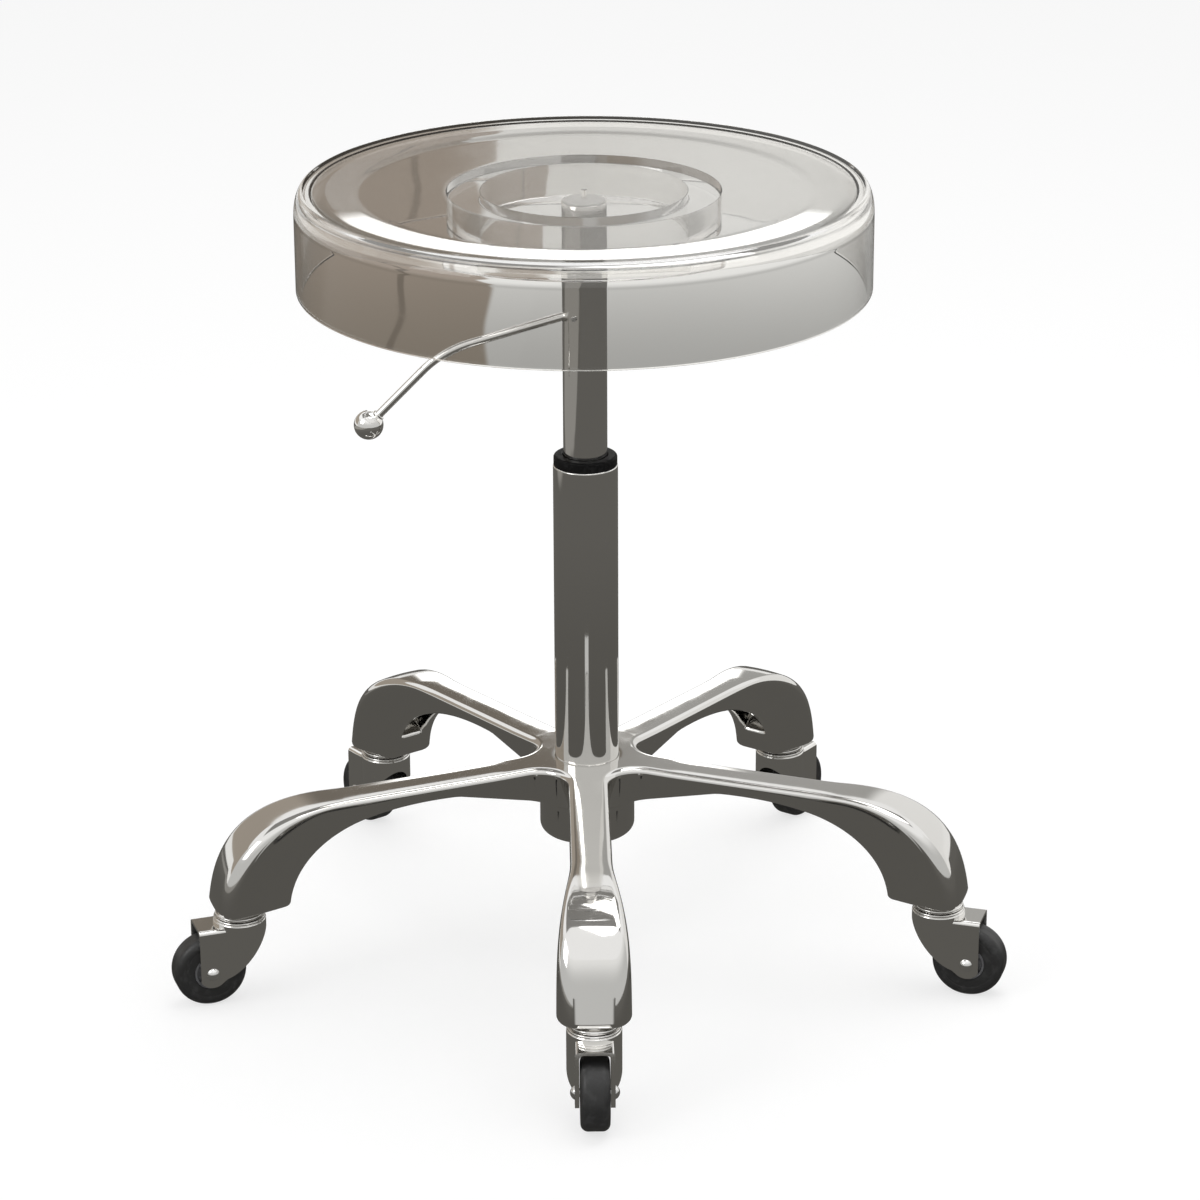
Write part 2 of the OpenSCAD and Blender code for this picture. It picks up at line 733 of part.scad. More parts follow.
plate_top_z = fork_top_z - plate_drop;
plate_round = 3;

// The two concave blends between the round barrel and the straight cheeks, from above
module fork_blends()
    for (m = [0, 1]) mirror([0, m]) difference() {
        polygon([[0, 0], [blend_at, 0], [blend_at, cheek_out + 0.01],
                 [blend_at * barrel_r / (barrel_r + blend_r),
                  (cheek_out + blend_r) * barrel_r / (barrel_r + blend_r)]]);
        translate([blend_at, cheek_out + blend_r]) circle(r = blend_r);
    }

// The cheeks and the plate over them, from the wheel's front
module cheek_profile() {
    translate([-cheek_out, 0]) square([2 * cheek_out, plate_top_z - plate_round]);
    translate([plate_round - cheek_out, 0]) square([2 * (cheek_out - plate_round), plate_top_z]);
    for (m = [-1, 1]) translate([m * (cheek_out - plate_round), plate_top_z - plate_round])
        circle(r = plate_round);
}

// The fork from its side: the lower edge sweeps from the barrel's back down to the axle
barrel_low_z = fork_top_z - 6;
barrel_turn = 3;
sweep_pull = 1.35 * lobe_r;
lobe_foot = 0.72 * lobe_r;
sweep = [
    [-barrel_r - cut, barrel_low_z + barrel_turn],
    [-barrel_r, barrel_low_z],
    [-0.6 * barrel_r, axle_z + sweep_pull],
    [caster_trail - lobe_foot, axle_z - lobe_foot]];
sweep_steps = 8;
module fork_side() {
    polygon(concat(
        [for (i = [0:sweep_steps]) bezier(sweep, i / sweep_steps)],
        [[caster_trail, axle_z], [fork_reach, axle_z], [fork_reach, fork_top_z],
         [-barrel_r - cut, fork_top_z]]));
    intersection() {
        translate([caster_trail, axle_z]) circle(r = lobe_r);
        translate([0, 0]) square([fork_reach, axle_z + cut]);
    }
}

ring_gap_r = stem_d / 2 + run_clear;
mouth_round = 3;
lip_inset = 0.4;
lip_bevel = 0.5;
module fork(k)
    color([0.70, 0.69, 0.66])
        at_caster(k) difference() {
            union() {
                intersection() {
                    union() {
                        cylinder(r = barrel_r, h = fork_top_z);
                        linear_extrude(plate_top_z) fork_blends();
                        rotate([90, 0, 90]) linear_extrude(fork_reach) cheek_profile();
                    }
                    translate([0, barrel_r + cut, 0]) rotate([90, 0, 0])
                        linear_extrude(barrel_d + 2 * cut) fork_side();
                }
                translate([0, 0, fork_top_z - cut])
                    cylinder(r = barrel_r - lip_inset, h = lip_h + cut - lip_bevel);
                translate([0, 0, fork_top_z + lip_h - lip_bevel - cut])
                    cylinder(r = barrel_r - lip_inset - lip_bevel, h = lip_bevel + cut);
            }
            translate([0, 0, -cut]) cylinder(r = barrel_r - fork_wall, h = fork_top_z - fork_top_t + cut);
            translate([0, 0, fork_top_z - fork_top_t]) rotate([90, 0, 90])
                linear_extrude(fork_reach + cut) {
                    translate([-cheek_in, -fork_top_z]) square([2 * cheek_in, fork_top_z - mouth_round]);
                    translate([mouth_round - cheek_in, -fork_top_z])
                        square([2 * (cheek_in - mouth_round), fork_top_z]);
                    for (m = [-1, 1]) translate([m * (cheek_in - mouth_round), -mouth_round])
                        circle(r = mouth_round);
                }
            translate([0, 0, fork_top_z - fork_top_t - cut])
                cylinder(r = ring_gap_r, h = fork_top_t + lip_h + 2 * cut);
            translate([caster_trail, barrel_r, axle_z]) rotate([90, 0, 0])
                cylinder(r = axle_d / 2 + run_clear, h = barrel_d);
        }

foot_r = 8;
foot_t = 2.4;
foot_overlap = 0.1;
module stem(k)
    color([0.66, 0.66, 0.66])
        at_caster(k) {
            translate([0, 0, fork_top_z - fork_top_t - face_clear - foot_t])
                cylinder(r = foot_r, h = foot_t);
            translate([0, 0, fork_top_z - fork_top_t - face_clear - foot_overlap])
                cylinder(d = stem_d, h = leg_end_z + stem_grip - fork_top_z + fork_top_t
                    + face_clear + foot_overlap);
        }

cap_bevel = [1, 0.8];
module bearing_cap(k)
    color([0.76, 0.76, 0.74])
        at_caster(k) translate([0, 0, fork_top_z + lip_h + face_clear]) difference() {
            union() {
                cylinder(r = cap_r, h = cap_h - face_clear - cap_bevel[1]);
                translate([0, 0, cap_h - face_clear - cap_bevel[1]])
                    cylinder(r1 = cap_r, r2 = cap_r - cap_bevel[0], h = cap_bevel[1]);
                cylinder(r = neck_r, h = cap_h + neck_h - face_clear);
            }
            translate([0, 0, -cut]) cylinder(r = stem_d / 2 + run_clear, h = cap_h + neck_h + 2 * cut);
        }

axle_head_h = 3;
axle_dome_r = 0.56 * axle_head_d;
axle_end = 0.1;
module axle(k)
    color([0.80, 0.80, 0.78])
        at_caster(k) translate([caster_trail, 0, axle_z]) {
            translate([0, cheek_out + axle_end, 0]) rotate([90, 0, 0])
                cylinder(d = axle_d, h = 2 * (cheek_out + axle_end));
            for (m = [0, 1]) mirror([0, m, 0])
                translate([0, cheek_out + run_clear, 0]) rotate([-90, 0, 0]) intersection() {
                    cylinder(d = axle_head_d, h = axle_head_h);
                    translate([0, 0, axle_head_h - axle_dome_r]) sphere(r = axle_dome_r);
                }
        }

tyre_round = 5;
hub_face_w = 2 * cheek_in - 2 * face_clear;
hub_flange_d = 13;
// The hub's rib that holds the tyre, in section
rib_base = 1;
rib_h = 4;
rib = [[-rib_base, -rib_h], [rib_h - rib_base, -rib_h / 2], [rib_h - rib_base, rib_h / 2],
       [-rib_base, rib_h]];
module wheel_hub(k)
    color([0.34, 0.34, 0.35])
        at_caster(k) translate([caster_trail, 0, axle_z]) rotate([90, 0, 0]) difference() {
            union() {
                translate([0, 0, -tyre_w / 2]) cylinder(d = wheel_hub_d, h = tyre_w);
                translate([0, 0, -hub_face_w / 2]) cylinder(d = hub_flange_d, h = hub_face_w);
                rotate_extrude() translate([wheel_hub_d / 2, 0]) polygon(rib);
            }
            translate([0, 0, -tyre_w]) cylinder(r = axle_d / 2 + run_clear, h = 2 * tyre_w);
        }

module tyre(k)
    color([0.06, 0.06, 0.06])
        at_caster(k) translate([caster_trail, 0, axle_z]) rotate([90, 0, 0])
            rotate_extrude() difference() {
                union() {
                    translate([wheel_hub_d / 2, -tyre_w / 2])
                        square([wheel_d / 2 - wheel_hub_d / 2 - tyre_round, tyre_w]);
                    translate([wheel_hub_d / 2, -tyre_w / 2 + tyre_round])
                        square([(wheel_d - wheel_hub_d) / 2, tyre_w - 2 * tyre_round]);
                    for (m = [-1, 1])
                        translate([wheel_d / 2 - tyre_round, m * (tyre_w / 2 - tyre_round)])
                            circle(r = tyre_round);
                }
                translate([wheel_hub_d / 2, 0]) polygon(rib);
            }

seat_shell();
support_ring();
seat_boss();
column_plug();
upper_tube();
gas_cylinder();
rod_guide();
release_button();
lever_pin();
release_lever();
lever_knob();
piston_rod();
piston_head();
retaining_clip();
guide_bush();
stand_tube();
base_plate();
thrust_bearing();
rubber_bumper();
star_base();
for (k = LEGS) {
    fork(k);
    stem(k);
    bearing_cap(k);
    axle(k);
    wheel_hub(k);
    tyre(k);
}
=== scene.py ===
"""Smooth pieces, finishes, studio and camera of the swivel stool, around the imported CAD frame."""
import logging
import math
from collections.abc import Callable, Sequence
from dataclasses import dataclass, field
from enum import Enum

import bmesh
import bpy
from mathutils import Matrix, Vector


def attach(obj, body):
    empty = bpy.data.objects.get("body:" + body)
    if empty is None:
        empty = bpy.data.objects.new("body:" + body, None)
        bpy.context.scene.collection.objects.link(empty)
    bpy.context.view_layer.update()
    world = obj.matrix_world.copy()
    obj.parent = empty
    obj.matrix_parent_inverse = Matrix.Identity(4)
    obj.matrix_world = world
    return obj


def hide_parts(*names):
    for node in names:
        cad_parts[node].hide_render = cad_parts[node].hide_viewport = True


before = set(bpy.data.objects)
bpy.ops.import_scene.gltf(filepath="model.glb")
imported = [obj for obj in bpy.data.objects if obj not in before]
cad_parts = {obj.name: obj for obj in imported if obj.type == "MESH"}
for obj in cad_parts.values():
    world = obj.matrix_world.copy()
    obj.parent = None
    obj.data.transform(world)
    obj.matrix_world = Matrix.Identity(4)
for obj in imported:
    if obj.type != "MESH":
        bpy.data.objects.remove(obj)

LOG = logging.getLogger("swivel_stool")
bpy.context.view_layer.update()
MM = 0.001
LEGS = range(1, 6)
LEG_STEP = 72.0
HALF_STEP = math.radians(LEG_STEP / 2)
FILLET_START = 180.0 + LEG_STEP / 2
FILLET_TURN = 90.0 - LEG_STEP / 2
TURN_STEPS = 160
MERGE = 1e-4
ACROSS = Vector((0, 1, 0))
Point = tuple[float, float]
Size = tuple[float, float, float]
Colour = tuple[float, float, float]


class Slot(Enum):
    """The record's material slots that the pieces here are listed with."""

    CLEAR = "clear_acrylic"
    TUBE = "tube_chrome"
    CAST = "polished_cast"
    LEVER = "lever_chrome"
    FORK = "fork_chrome"
    STEEL = "steel"
    NYLON = "black_nylon"
    HUB = "wheel_plastic"
    TYRE = "tyre"


def leg_azimuth(k: int) -> float:
    """The direction of leg k, seen from above, in degrees from +X."""
    return -90.0 + LEG_STEP * (k - 1)


def turn_z(degrees: float) -> Matrix:
    """A turn about the vertical axis."""
    return Matrix.Rotation(math.radians(degrees), 4, "Z")


def shift(x: float, y: float, z: float) -> Matrix:
    """A move without a turn."""
    return Matrix.Translation((x, y, z))


def smooth_step(x: float) -> float:
    """Zero below 0, one above 1 and a smooth curve between them."""
    c = min(1.0, max(0.0, x))
    return c * c * (3 - 2 * c)


def ramp(x: float, end: float = 0.25) -> float:
    """Zero at 0, one at 1 and a straight slope between them, with a soft end at each side.

    Args:
        x: where on the slope.
        end: the share of the way that each soft end takes.

    Returns:
        The height of the slope.
    """
    c = min(1.0, max(0.0, x))
    steep = 1 / (1 - end)
    if c < end:
        return steep * c * c / (2 * end)
    if c > 1 - end:
        return 1 - steep * (1 - c) ** 2 / (2 * end)
    return steep * (c - end / 2)


def between(a: float, b: float, x: float) -> float:
    """The value a share x of the way from a to b."""
    return a + (b - a) * x


def bezier(p: Sequence[Point], t: float) -> Vector:
    """A point on the cubic curve through four control points.

    Args:
        p: the four control points.
        t: how far along the curve, from 0 to 1.

    Returns:
        The point.
    """
    u = 1 - t
    shares = (u**3, 3 * u * u * t, 3 * u * t * t, t**3)
    return sum((Vector(q) * c for c, q in zip(shares, p)), Vector((0.0, 0.0)))


def oval(cx: float, cz: float, rx: float, rz: float, start: float, end: float,
         steps: int) -> list[Point]:
    """Points on part of an oval in the plane of a profile.

    Args:
        cx: distance of the oval's middle from the axis.
        cz: height of the oval's middle.
        rx: half its width, negative to start from its other side.
        rz: half its height, negative to turn it over.
        start: first angle in degrees.
        end: last angle in degrees.
        steps: number of stretches.

    Returns:
        The points, both ends included.
    """
    angles = [math.radians(between(start, end, i / steps)) for i in range(steps + 1)]
    return [(cx + rx * math.cos(a), cz + rz * math.sin(a)) for a in angles]


def arc(cx: float, cz: float, r: float, start: float, end: float, steps: int) -> list[Point]:
    """Points on part of a circle, as oval() gives them."""
    return oval(cx, cz, r, r, start, end, steps)


def stretch(a: Point, b: Point, steps: int) -> list[Point]:
    """Points on a straight line from a to b, without b."""
    return [(between(a[0], b[0], i / steps), between(a[1], b[1], i / steps))
            for i in range(steps)]


def flipped(half: Sequence[Point]) -> list[Point]:
    """Half a profile on the other side of its middle, from its last point back to its first."""
    return [(x, -y) for x, y in half[::-1]]


def rounded(corners: Sequence[Size], steps: int) -> list[Point]:
    """A closed profile whose corners are rounded.

    Args:
        corners: distance from the axis, height and rounding of each corner, in order.
        steps: stretches in each rounded corner.

    Returns:
        The profile's points.
    """
    out: list[Point] = []
    for i, (x, z, r) in enumerate(corners):
        if r <= 0:
            out.append((x, z))
            continue
        here = Vector((x, z))
        back = Vector(corners[i - 1][:2]) - here
        ahead = Vector(corners[(i + 1) % len(corners)][:2]) - here
        half = back.angle(ahead) / 2
        reach = min(r / math.tan(half), back.length * 0.49, ahead.length * 0.49)
        back.normalize()
        ahead.normalize()
        middle = here + (back + ahead).normalized() * (reach / math.cos(half))
        a, b = here + back * reach - middle, here + ahead * reach - middle
        for j in range(steps + 1):
            share = j / steps
            turned = a * (1 - share) + b * share
            out.append(tuple(middle + turned.normalized() * a.length))
    return out


class Shape:
    """A mesh in the making, in millimetres, which ends as one piece of the stool."""

    def __init__(self) -> None:
        """Starts an empty mesh."""
        self.bm = bmesh.new()

    def chain(self, points: Sequence[Vector], closed: bool) -> list:
        """Adds a row of vertices joined by edges, and returns both.

        Args:
            points: the vertices' places.
            closed: whether the last joins the first.

        Returns:
            The vertices and the edges.
        """
        verts = [self.bm.verts.new(p) for p in points]
        pairs = list(zip(verts, verts[1:])) + ([(verts[-1], verts[0])] if closed else [])
        return verts + [self.bm.edges.new(pair) for pair in pairs]

    def lathed(self, corners: Sequence[Size], steps: int, closed: bool = True,
               turns: int = TURN_STEPS) -> "Shape":
        """Spins a profile with rounded corners, as rounded() reads them, and tidies the result."""
        return self.turned(rounded(corners, steps), closed, turns).tidy()

    def turned(self, profile: Sequence[Point], closed: bool = True, steps: int = TURN_STEPS,
               axis: Vector = Vector((0, 0, 1))) -> "Shape":
        """Spins a profile once round the axis.

        Args:
            profile: distance from the axis and height of each point.
            closed: whether the profile closes on itself, as a ring's does.
            steps: number of steps round.
            axis: direction of the axis, Z or Y.

        Returns:
            This shape.
        """
        along_y = abs(axis.y) > 0.5
        points = [Vector((r, h, 0)) if along_y else Vector((r, 0, h)) for r, h in profile]
        row = self.chain(points, closed)
        bmesh.ops.spin(self.bm, geom=row, cent=(0, 0, 0), axis=axis, dvec=(0, 0, 0),
                       angle=math.tau, steps=steps, use_merge=True, use_duplicate=False)
        return self

    def grid(self, rows: int, columns: int, place: Callable[[int, int], Vector]) -> None:
        """Adds a sheet of faces whose vertices are placed by a rule.

        Args:
            rows: number of rows of vertices.
            columns: number of columns of vertices.
            place: gives the place of the vertex in a row and column.
        """
        made = bmesh.ops.create_grid(self.bm, x_segments=rows - 1, y_segments=columns - 1,
                                     size=0.5)["verts"]
        for v in made:
            i = round((v.co.x + 0.5) * (rows - 1))
            j = round((v.co.y + 0.5) * (columns - 1))
            v.co = place(i, j)

    def move(self, matrix: Matrix) -> "Shape":
        """Moves, turns or scales the whole shape."""
        bmesh.ops.transform(self.bm, matrix=matrix, verts=self.bm.verts)
        return self

    def add(self, other: "Shape") -> "Shape":
        """Adds a copy of another shape's mesh.

        Args:
            other: the other shape.

        Returns:
            This shape.
        """
        held = bpy.data.meshes.new("held")
        other.bm.to_mesh(held)
        self.bm.from_mesh(held)
        bpy.data.meshes.remove(held)
        return self

    def copy(self) -> "Shape":
        """A copy of this shape."""
        return Shape().add(self)

    def tidy(self, merge: float = MERGE) -> "Shape":
        """Merges doubles, drops collapsed faces and turns the faces outwards.

        Args:
            merge: distance within which vertices are merged.

        Returns:
            This shape.
        """
        bmesh.ops.remove_doubles(self.bm, verts=self.bm.verts, dist=merge)
        bmesh.ops.dissolve_degenerate(self.bm, edges=self.bm.edges, dist=merge)
        bmesh.ops.recalc_face_normals(self.bm, faces=self.bm.faces)
        return self

    def edges_bevelled(self, width: float, over: float, segments: int = 3) -> "Shape":
        """Rounds the edges whose faces meet at more than an angle.

        Args:
            width: distance that the rounding reaches from each edge.
            over: the angle in degrees.
            segments: faces across a rounding.

        Returns:
            This shape.
        """
        limit = math.radians(over)
        sharp = [e for e in self.bm.edges
                 if len(e.link_faces) == 2 and e.calc_face_angle(0.0) > limit]
        bmesh.ops.bevel(self.bm, geom=sharp, offset=width, offset_type="OFFSET",
                        segments=segments, profile=0.5, affect="EDGES", clamp_overlap=True,
                        material=-1)
        return self

    def combined(self, other: "Shape", operation: str) -> "Shape":
        """This shape and another as one, by a Boolean modifier.

        Args:
            other: the other shape.
            operation: UNION, DIFFERENCE or INTERSECT.

        Returns:
            The new shape.
        """
        here, there = self.loose("held_here"), other.loose("held_there")
        cutter = here.modifiers.new("cut", "BOOLEAN")
        cutter.operation = operation
        cutter.solver = "EXACT"
        cutter.object = there
        graph = bpy.context.evaluated_depsgraph_get()
        out = Shape()
        out.bm.from_object(here, graph)
        for held in (here, there):
            mesh = held.data
            bpy.data.objects.remove(held)
            bpy.data.meshes.remove(mesh)
        return out

    def loose(self, name: str) -> bpy.types.Object:
        """An object of this shape in the scene, still in millimetres.

        Args:
            name: the object's name.

        Returns:
            The object.
        """
        mesh = bpy.data.meshes.new(name)
        self.bm.to_mesh(mesh)
        held = bpy.data.objects.new(name, mesh)
        bpy.context.scene.collection.objects.link(held)
        return held

    def piece(self, name: str, sharp: float = 40.0, even: bool = True) -> bpy.types.Object:
        """Ends the shape as a piece in metres, at the origin, with smooth shading.

        Args:
            name: the piece's name.
            sharp: angle in degrees past which an edge is shaded sharp.
            even: whether long flat faces keep their shading flat beside small roundings.

        Returns:
            The piece.
        """
        self.move(Matrix.Scale(MM, 4))
        held = self.loose(name)
        self.bm.free()
        for face in held.data.polygons:
            face.use_smooth = True
        held.data.set_sharp_from_angle(angle=math.radians(sharp))
        if even:
            held.modifiers.new("even", "WEIGHTED_NORMAL").keep_sharp = True
        return held


def dress(piece: bpy.types.Object, body: str, nodes: Sequence[str], slot: Slot,
          material: bpy.types.Material) -> bpy.types.Object:
    """Gives a piece its finish and its place in the frame.

    Args:
        piece: the finished piece.
        body: the CAD body that it rides on.
        nodes: the CAD nodes that it stands for.
        slot: the record's slot of its finish; not used.
        material: its material.

    Returns:
        The piece.
    """
    piece.data.materials.clear()
    piece.data.materials.append(material)
    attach(piece, body)
    if nodes:
        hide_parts(*nodes)
    LOG.info("%s rides on %s with %d faces", piece.name, body, len(piece.data.polygons))
    return piece


class Val:
    """A number in a shader, whose sums and products add Math nodes."""

    def __init__(self, graph: "Graph", socket: bpy.types.NodeSocket) -> None:
        """Holds an output socket of a graph."""
        self.graph = graph
        self.socket = socket

    def _math(self, operation: str, *values: "Val | float") -> "Val":
        """The result of a Math node on the values, in order.

        Args:
            operation: the node's operation.
            values: its inputs, in order.

        Returns:
            The result.
        """
        node = self.graph.node("ShaderNodeMath", {"operation": operation},
                               dict(enumerate(values)))
        return Val(self.graph, node.outputs[0])

    def __add__(self, other: "Val | float") -> "Val":
        """The sum."""
        return self._math("ADD", self, other)

    def __sub__(self, other: "Val | float") -> "Val":
        """The difference."""
        return self._math("SUBTRACT", self, other)

    def __rsub__(self, other: float) -> "Val":
        """A number less this value."""
        return self._math("SUBTRACT", other, self)

    def __mul__(self, other: "Val | float") -> "Val":
        """The product."""
        return self._math("MULTIPLY", self, other)

    __radd__ = __add__
    __rmul__ = __mul__

    @property
    def size(self) -> "Val":
        """The value without its sign."""
        return self._math("ABSOLUTE", self)

    def over(self, limit: float, soft: float) -> "Val":
        """One where this value is above a limit, with a soft step of a given width.

        Args:
            limit: the limit.
            soft: the width of the step.

        Returns:
            The step's value, from 0 to 1.
        """
        node = self.graph.node("ShaderNodeMapRange", {"interpolation_type": "SMOOTHSTEP"},
                               {"Value": self, "From Min": limit - soft / 2,
                                "From Max": limit + soft / 2})
        return Val(self.graph, node.outputs["Result"])


class Graph:
    """The nodes of one material."""

    def __init__(self, name: str) -> None:
        """Starts a material with only its output node.

        Args:
            name: the material's name.
        """
        self.material = bpy.data.materials.new(name)
        self.material.use_nodes = True
        self.tree = self.material.node_tree
        self.tree.nodes.clear()
        self.output = self.node("ShaderNodeOutputMaterial")
        self._place = None

    def node(self, kind: str, settings: dict | None = None,
             values: dict | None = None) -> bpy.types.Node:
        """Adds a node.

        Args:
            kind: the node's type.
            settings: its settings, set before its sockets.
            values: what each input socket gets, by name or number: a value or a link.

        Returns:
            The node.
        """
        made = self.tree.nodes.new(kind)
        for key, value in (settings or {}).items():
            setattr(made, key, value)
        for key, value in (values or {}).items():
            self.feed(made.inputs[key], value)
        return made

    def feed(self, socket: bpy.types.NodeSocket, value: object) -> None:
        """Links a value or an output to a socket, or sets the socket to a number or colour.

        Args:
            socket: the input socket.
            value: what it gets.
        """
        if isinstance(value, Val):
            value = value.socket
        if isinstance(value, bpy.types.NodeSocket):
            self.tree.links.new(value, socket)
        elif isinstance(value, tuple) and len(value) == 3 and socket.type == "RGBA":
            socket.default_value = (*value, 1.0)
        else:
            socket.default_value = value

    @property
    def place(self) -> bpy.types.NodeSocket:
        """The object's own coordinates, in metres.

        Returns:
            The socket that gives them.
        """
        if self._place is None:
            self._place = self.node("ShaderNodeTexCoord").outputs["Object"]
        return self._place

    def stretched(self, scale: Colour) -> bpy.types.NodeSocket:
        """The object's coordinates, scaled apart along X, Y and Z."""
        return self.node("ShaderNodeVectorMath", {"operation": "MULTIPLY"},
                         {0: self.place, 1: scale}).outputs[0]

    def noise(self, size: float, detail: float = 2.0, rough: float = 0.5,
              place: bpy.types.NodeSocket | None = None) -> Val:
        """Noise from 0 to 1.

        Args:
            size: rough size of its spots in metres.
            detail: how many finer layers it has.
            rough: how strong the finer layers are.
            place: the coordinates, or none for the object's own.

        Returns:
            The noise.
        """
        made = self.node("ShaderNodeTexNoise", None,
                         {"Vector": place or self.place, "Scale": 1 / size, "Detail": detail,
                          "Roughness": rough})
        return Val(self, made.outputs["Fac"])

    def blend(self, share: Val, low: object, high: object) -> bpy.types.NodeSocket:
        """The colour a share of the way from one colour to another.

        Args:
            share: the share, from 0 to 1.
            low: the colour at 0.
            high: the colour at 1.

        Returns:
            The output of the Mix node.
        """
        made = self.node("ShaderNodeMix", {"data_type": "RGBA"},
                         {"Factor": share, 6: low, 7: high})
        return made.outputs[2]

    def along(self, axis: str) -> Val:
        """The object's own coordinate along X, Y or Z, in metres."""
        split = self.node("ShaderNodeSeparateXYZ", None, {"Vector": self.place})
        return Val(self, split.outputs[axis])

    def bump(self, height: Val, depth: float) -> bpy.types.NodeSocket:
        """A normal from a height of 0 to 1, where 1 stands for a depth in metres."""
        return self.node("ShaderNodeBump", None, {
            "Height": height, "Distance": depth, "Strength": 1.0}).outputs["Normal"]

    def principled(self, **values: object) -> bpy.types.Material:
        """Ends the material with one Principled shader, whose sockets are named with low dashes.

        Args:
            values: what each socket gets.

        Returns:
            The material.
        """
        named = {key.replace("_", " ").title().replace("Ior", "IOR"): value
                 for key, value in values.items()}
        shader = self.node("ShaderNodeBsdfPrincipled", None, named)
        self.feed(self.output.inputs["Surface"], shader.outputs[0])
        return self.material


@dataclass(frozen=True)
class ClearAcrylic:
    """Clear cast acrylic, faintly smoked, with a soft haze of handling."""

    name: str = "clear_acrylic"
    tint: Colour = (0.93, 0.925, 0.915)
    haze: float = 0.012

    def build(self) -> bpy.types.Material:
        """Makes the finish's nodes.

        Returns:
            The material.
        """
        g = Graph(self.name)
        smudge = g.noise(0.045, 3.0).over(0.58, 0.3)
        scratch = g.noise(0.004, 1.0, 0.5, g.stretched((1.0, 0.12, 1.0))).over(0.68, 0.08)
        wave = g.noise(0.06, 1.0)
        rough = self.haze + smudge * 0.02 + scratch * 0.015
        return g.principled(
            base_color=g.blend(g.noise(0.09), self.tint, tuple(c * 0.985 for c in self.tint)),
            roughness=rough, ior=1.49, transmission_weight=1.0,
            normal=g.bump(wave, 0.00012))


@dataclass(frozen=True)
class PolishedMetal:
    """Plated or polished metal: a mirror with faint waves, wipe marks and smudges."""

    name: str
    colour: Colour
    shade: Colour
    rough: float = 0.05
    smudges: float = 0.06
    wave: float = 0.00004
    wave_size: float = 0.02
    grain: Colour = (1.0, 1.0, 1.0)

    def build(self) -> bpy.types.Material:
        """Makes the finish's nodes.

        Returns:
            The material.
        """
        g = Graph(self.name)
        smudge = g.noise(0.03, 4.0, 0.6).over(0.6, 0.35)
        wipe = g.noise(0.0025, 2.0, 0.5, g.stretched(self.grain))
        return g.principled(
            base_color=g.blend(g.noise(0.05, 3.0), self.colour, self.shade),
            metallic=1.0, roughness=self.rough + smudge * self.smudges + wipe * 0.02,
            normal=g.bump(g.noise(self.wave_size, 1.0), self.wave))


@dataclass(frozen=True)
class MachinedSteel:
    """Turned or pressed steel with fine tool marks."""

    name: str
    colour: Colour
    rough: float = 0.3
    mark: float = 0.0006

    def build(self) -> bpy.types.Material:
        """Makes the finish's nodes.

        Returns:
            The material.
        """
        g = Graph(self.name)
        marks = g.noise(self.mark, 2.0, 0.6, g.stretched((0.2, 0.2, 1.0)))
        stain = g.noise(0.008, 3.0)
        return g.principled(
            base_color=g.blend(stain, self.colour, tuple(c * 0.82 for c in self.colour)),
            metallic=1.0, roughness=self.rough + marks * 0.14 + stain * 0.05,
            normal=g.bump(marks, 0.00002))


@dataclass(frozen=True)
class MouldedPlastic:
    """Moulded plastic or rubber with a fine spark texture and scuffs."""

    name: str
    colour: Colour
    rough: float = 0.42
    spark: float = 0.0005
    spark_depth: float = 0.00003
    scuff: float = 0.12
    gloss: float = 0.5

    def build(self) -> bpy.types.Material:
        """Makes the finish's nodes.

        Returns:
            The material.
        """
        g = Graph(self.name)
        fine = g.noise(self.spark, 2.0, 0.6)
        scuffs = g.noise(0.006, 4.0, 0.65).over(0.58, 0.2)
        pale = tuple(min(1.0, c * 1.7 + 0.012) for c in self.colour)
        return g.principled(
            base_color=g.blend(scuffs * 0.5, self.colour, pale), metallic=0.0,
            roughness=self.rough + scuffs * self.scuff + fine * 0.06,
            specular_ior_level=self.gloss, normal=g.bump(fine, self.spark_depth))


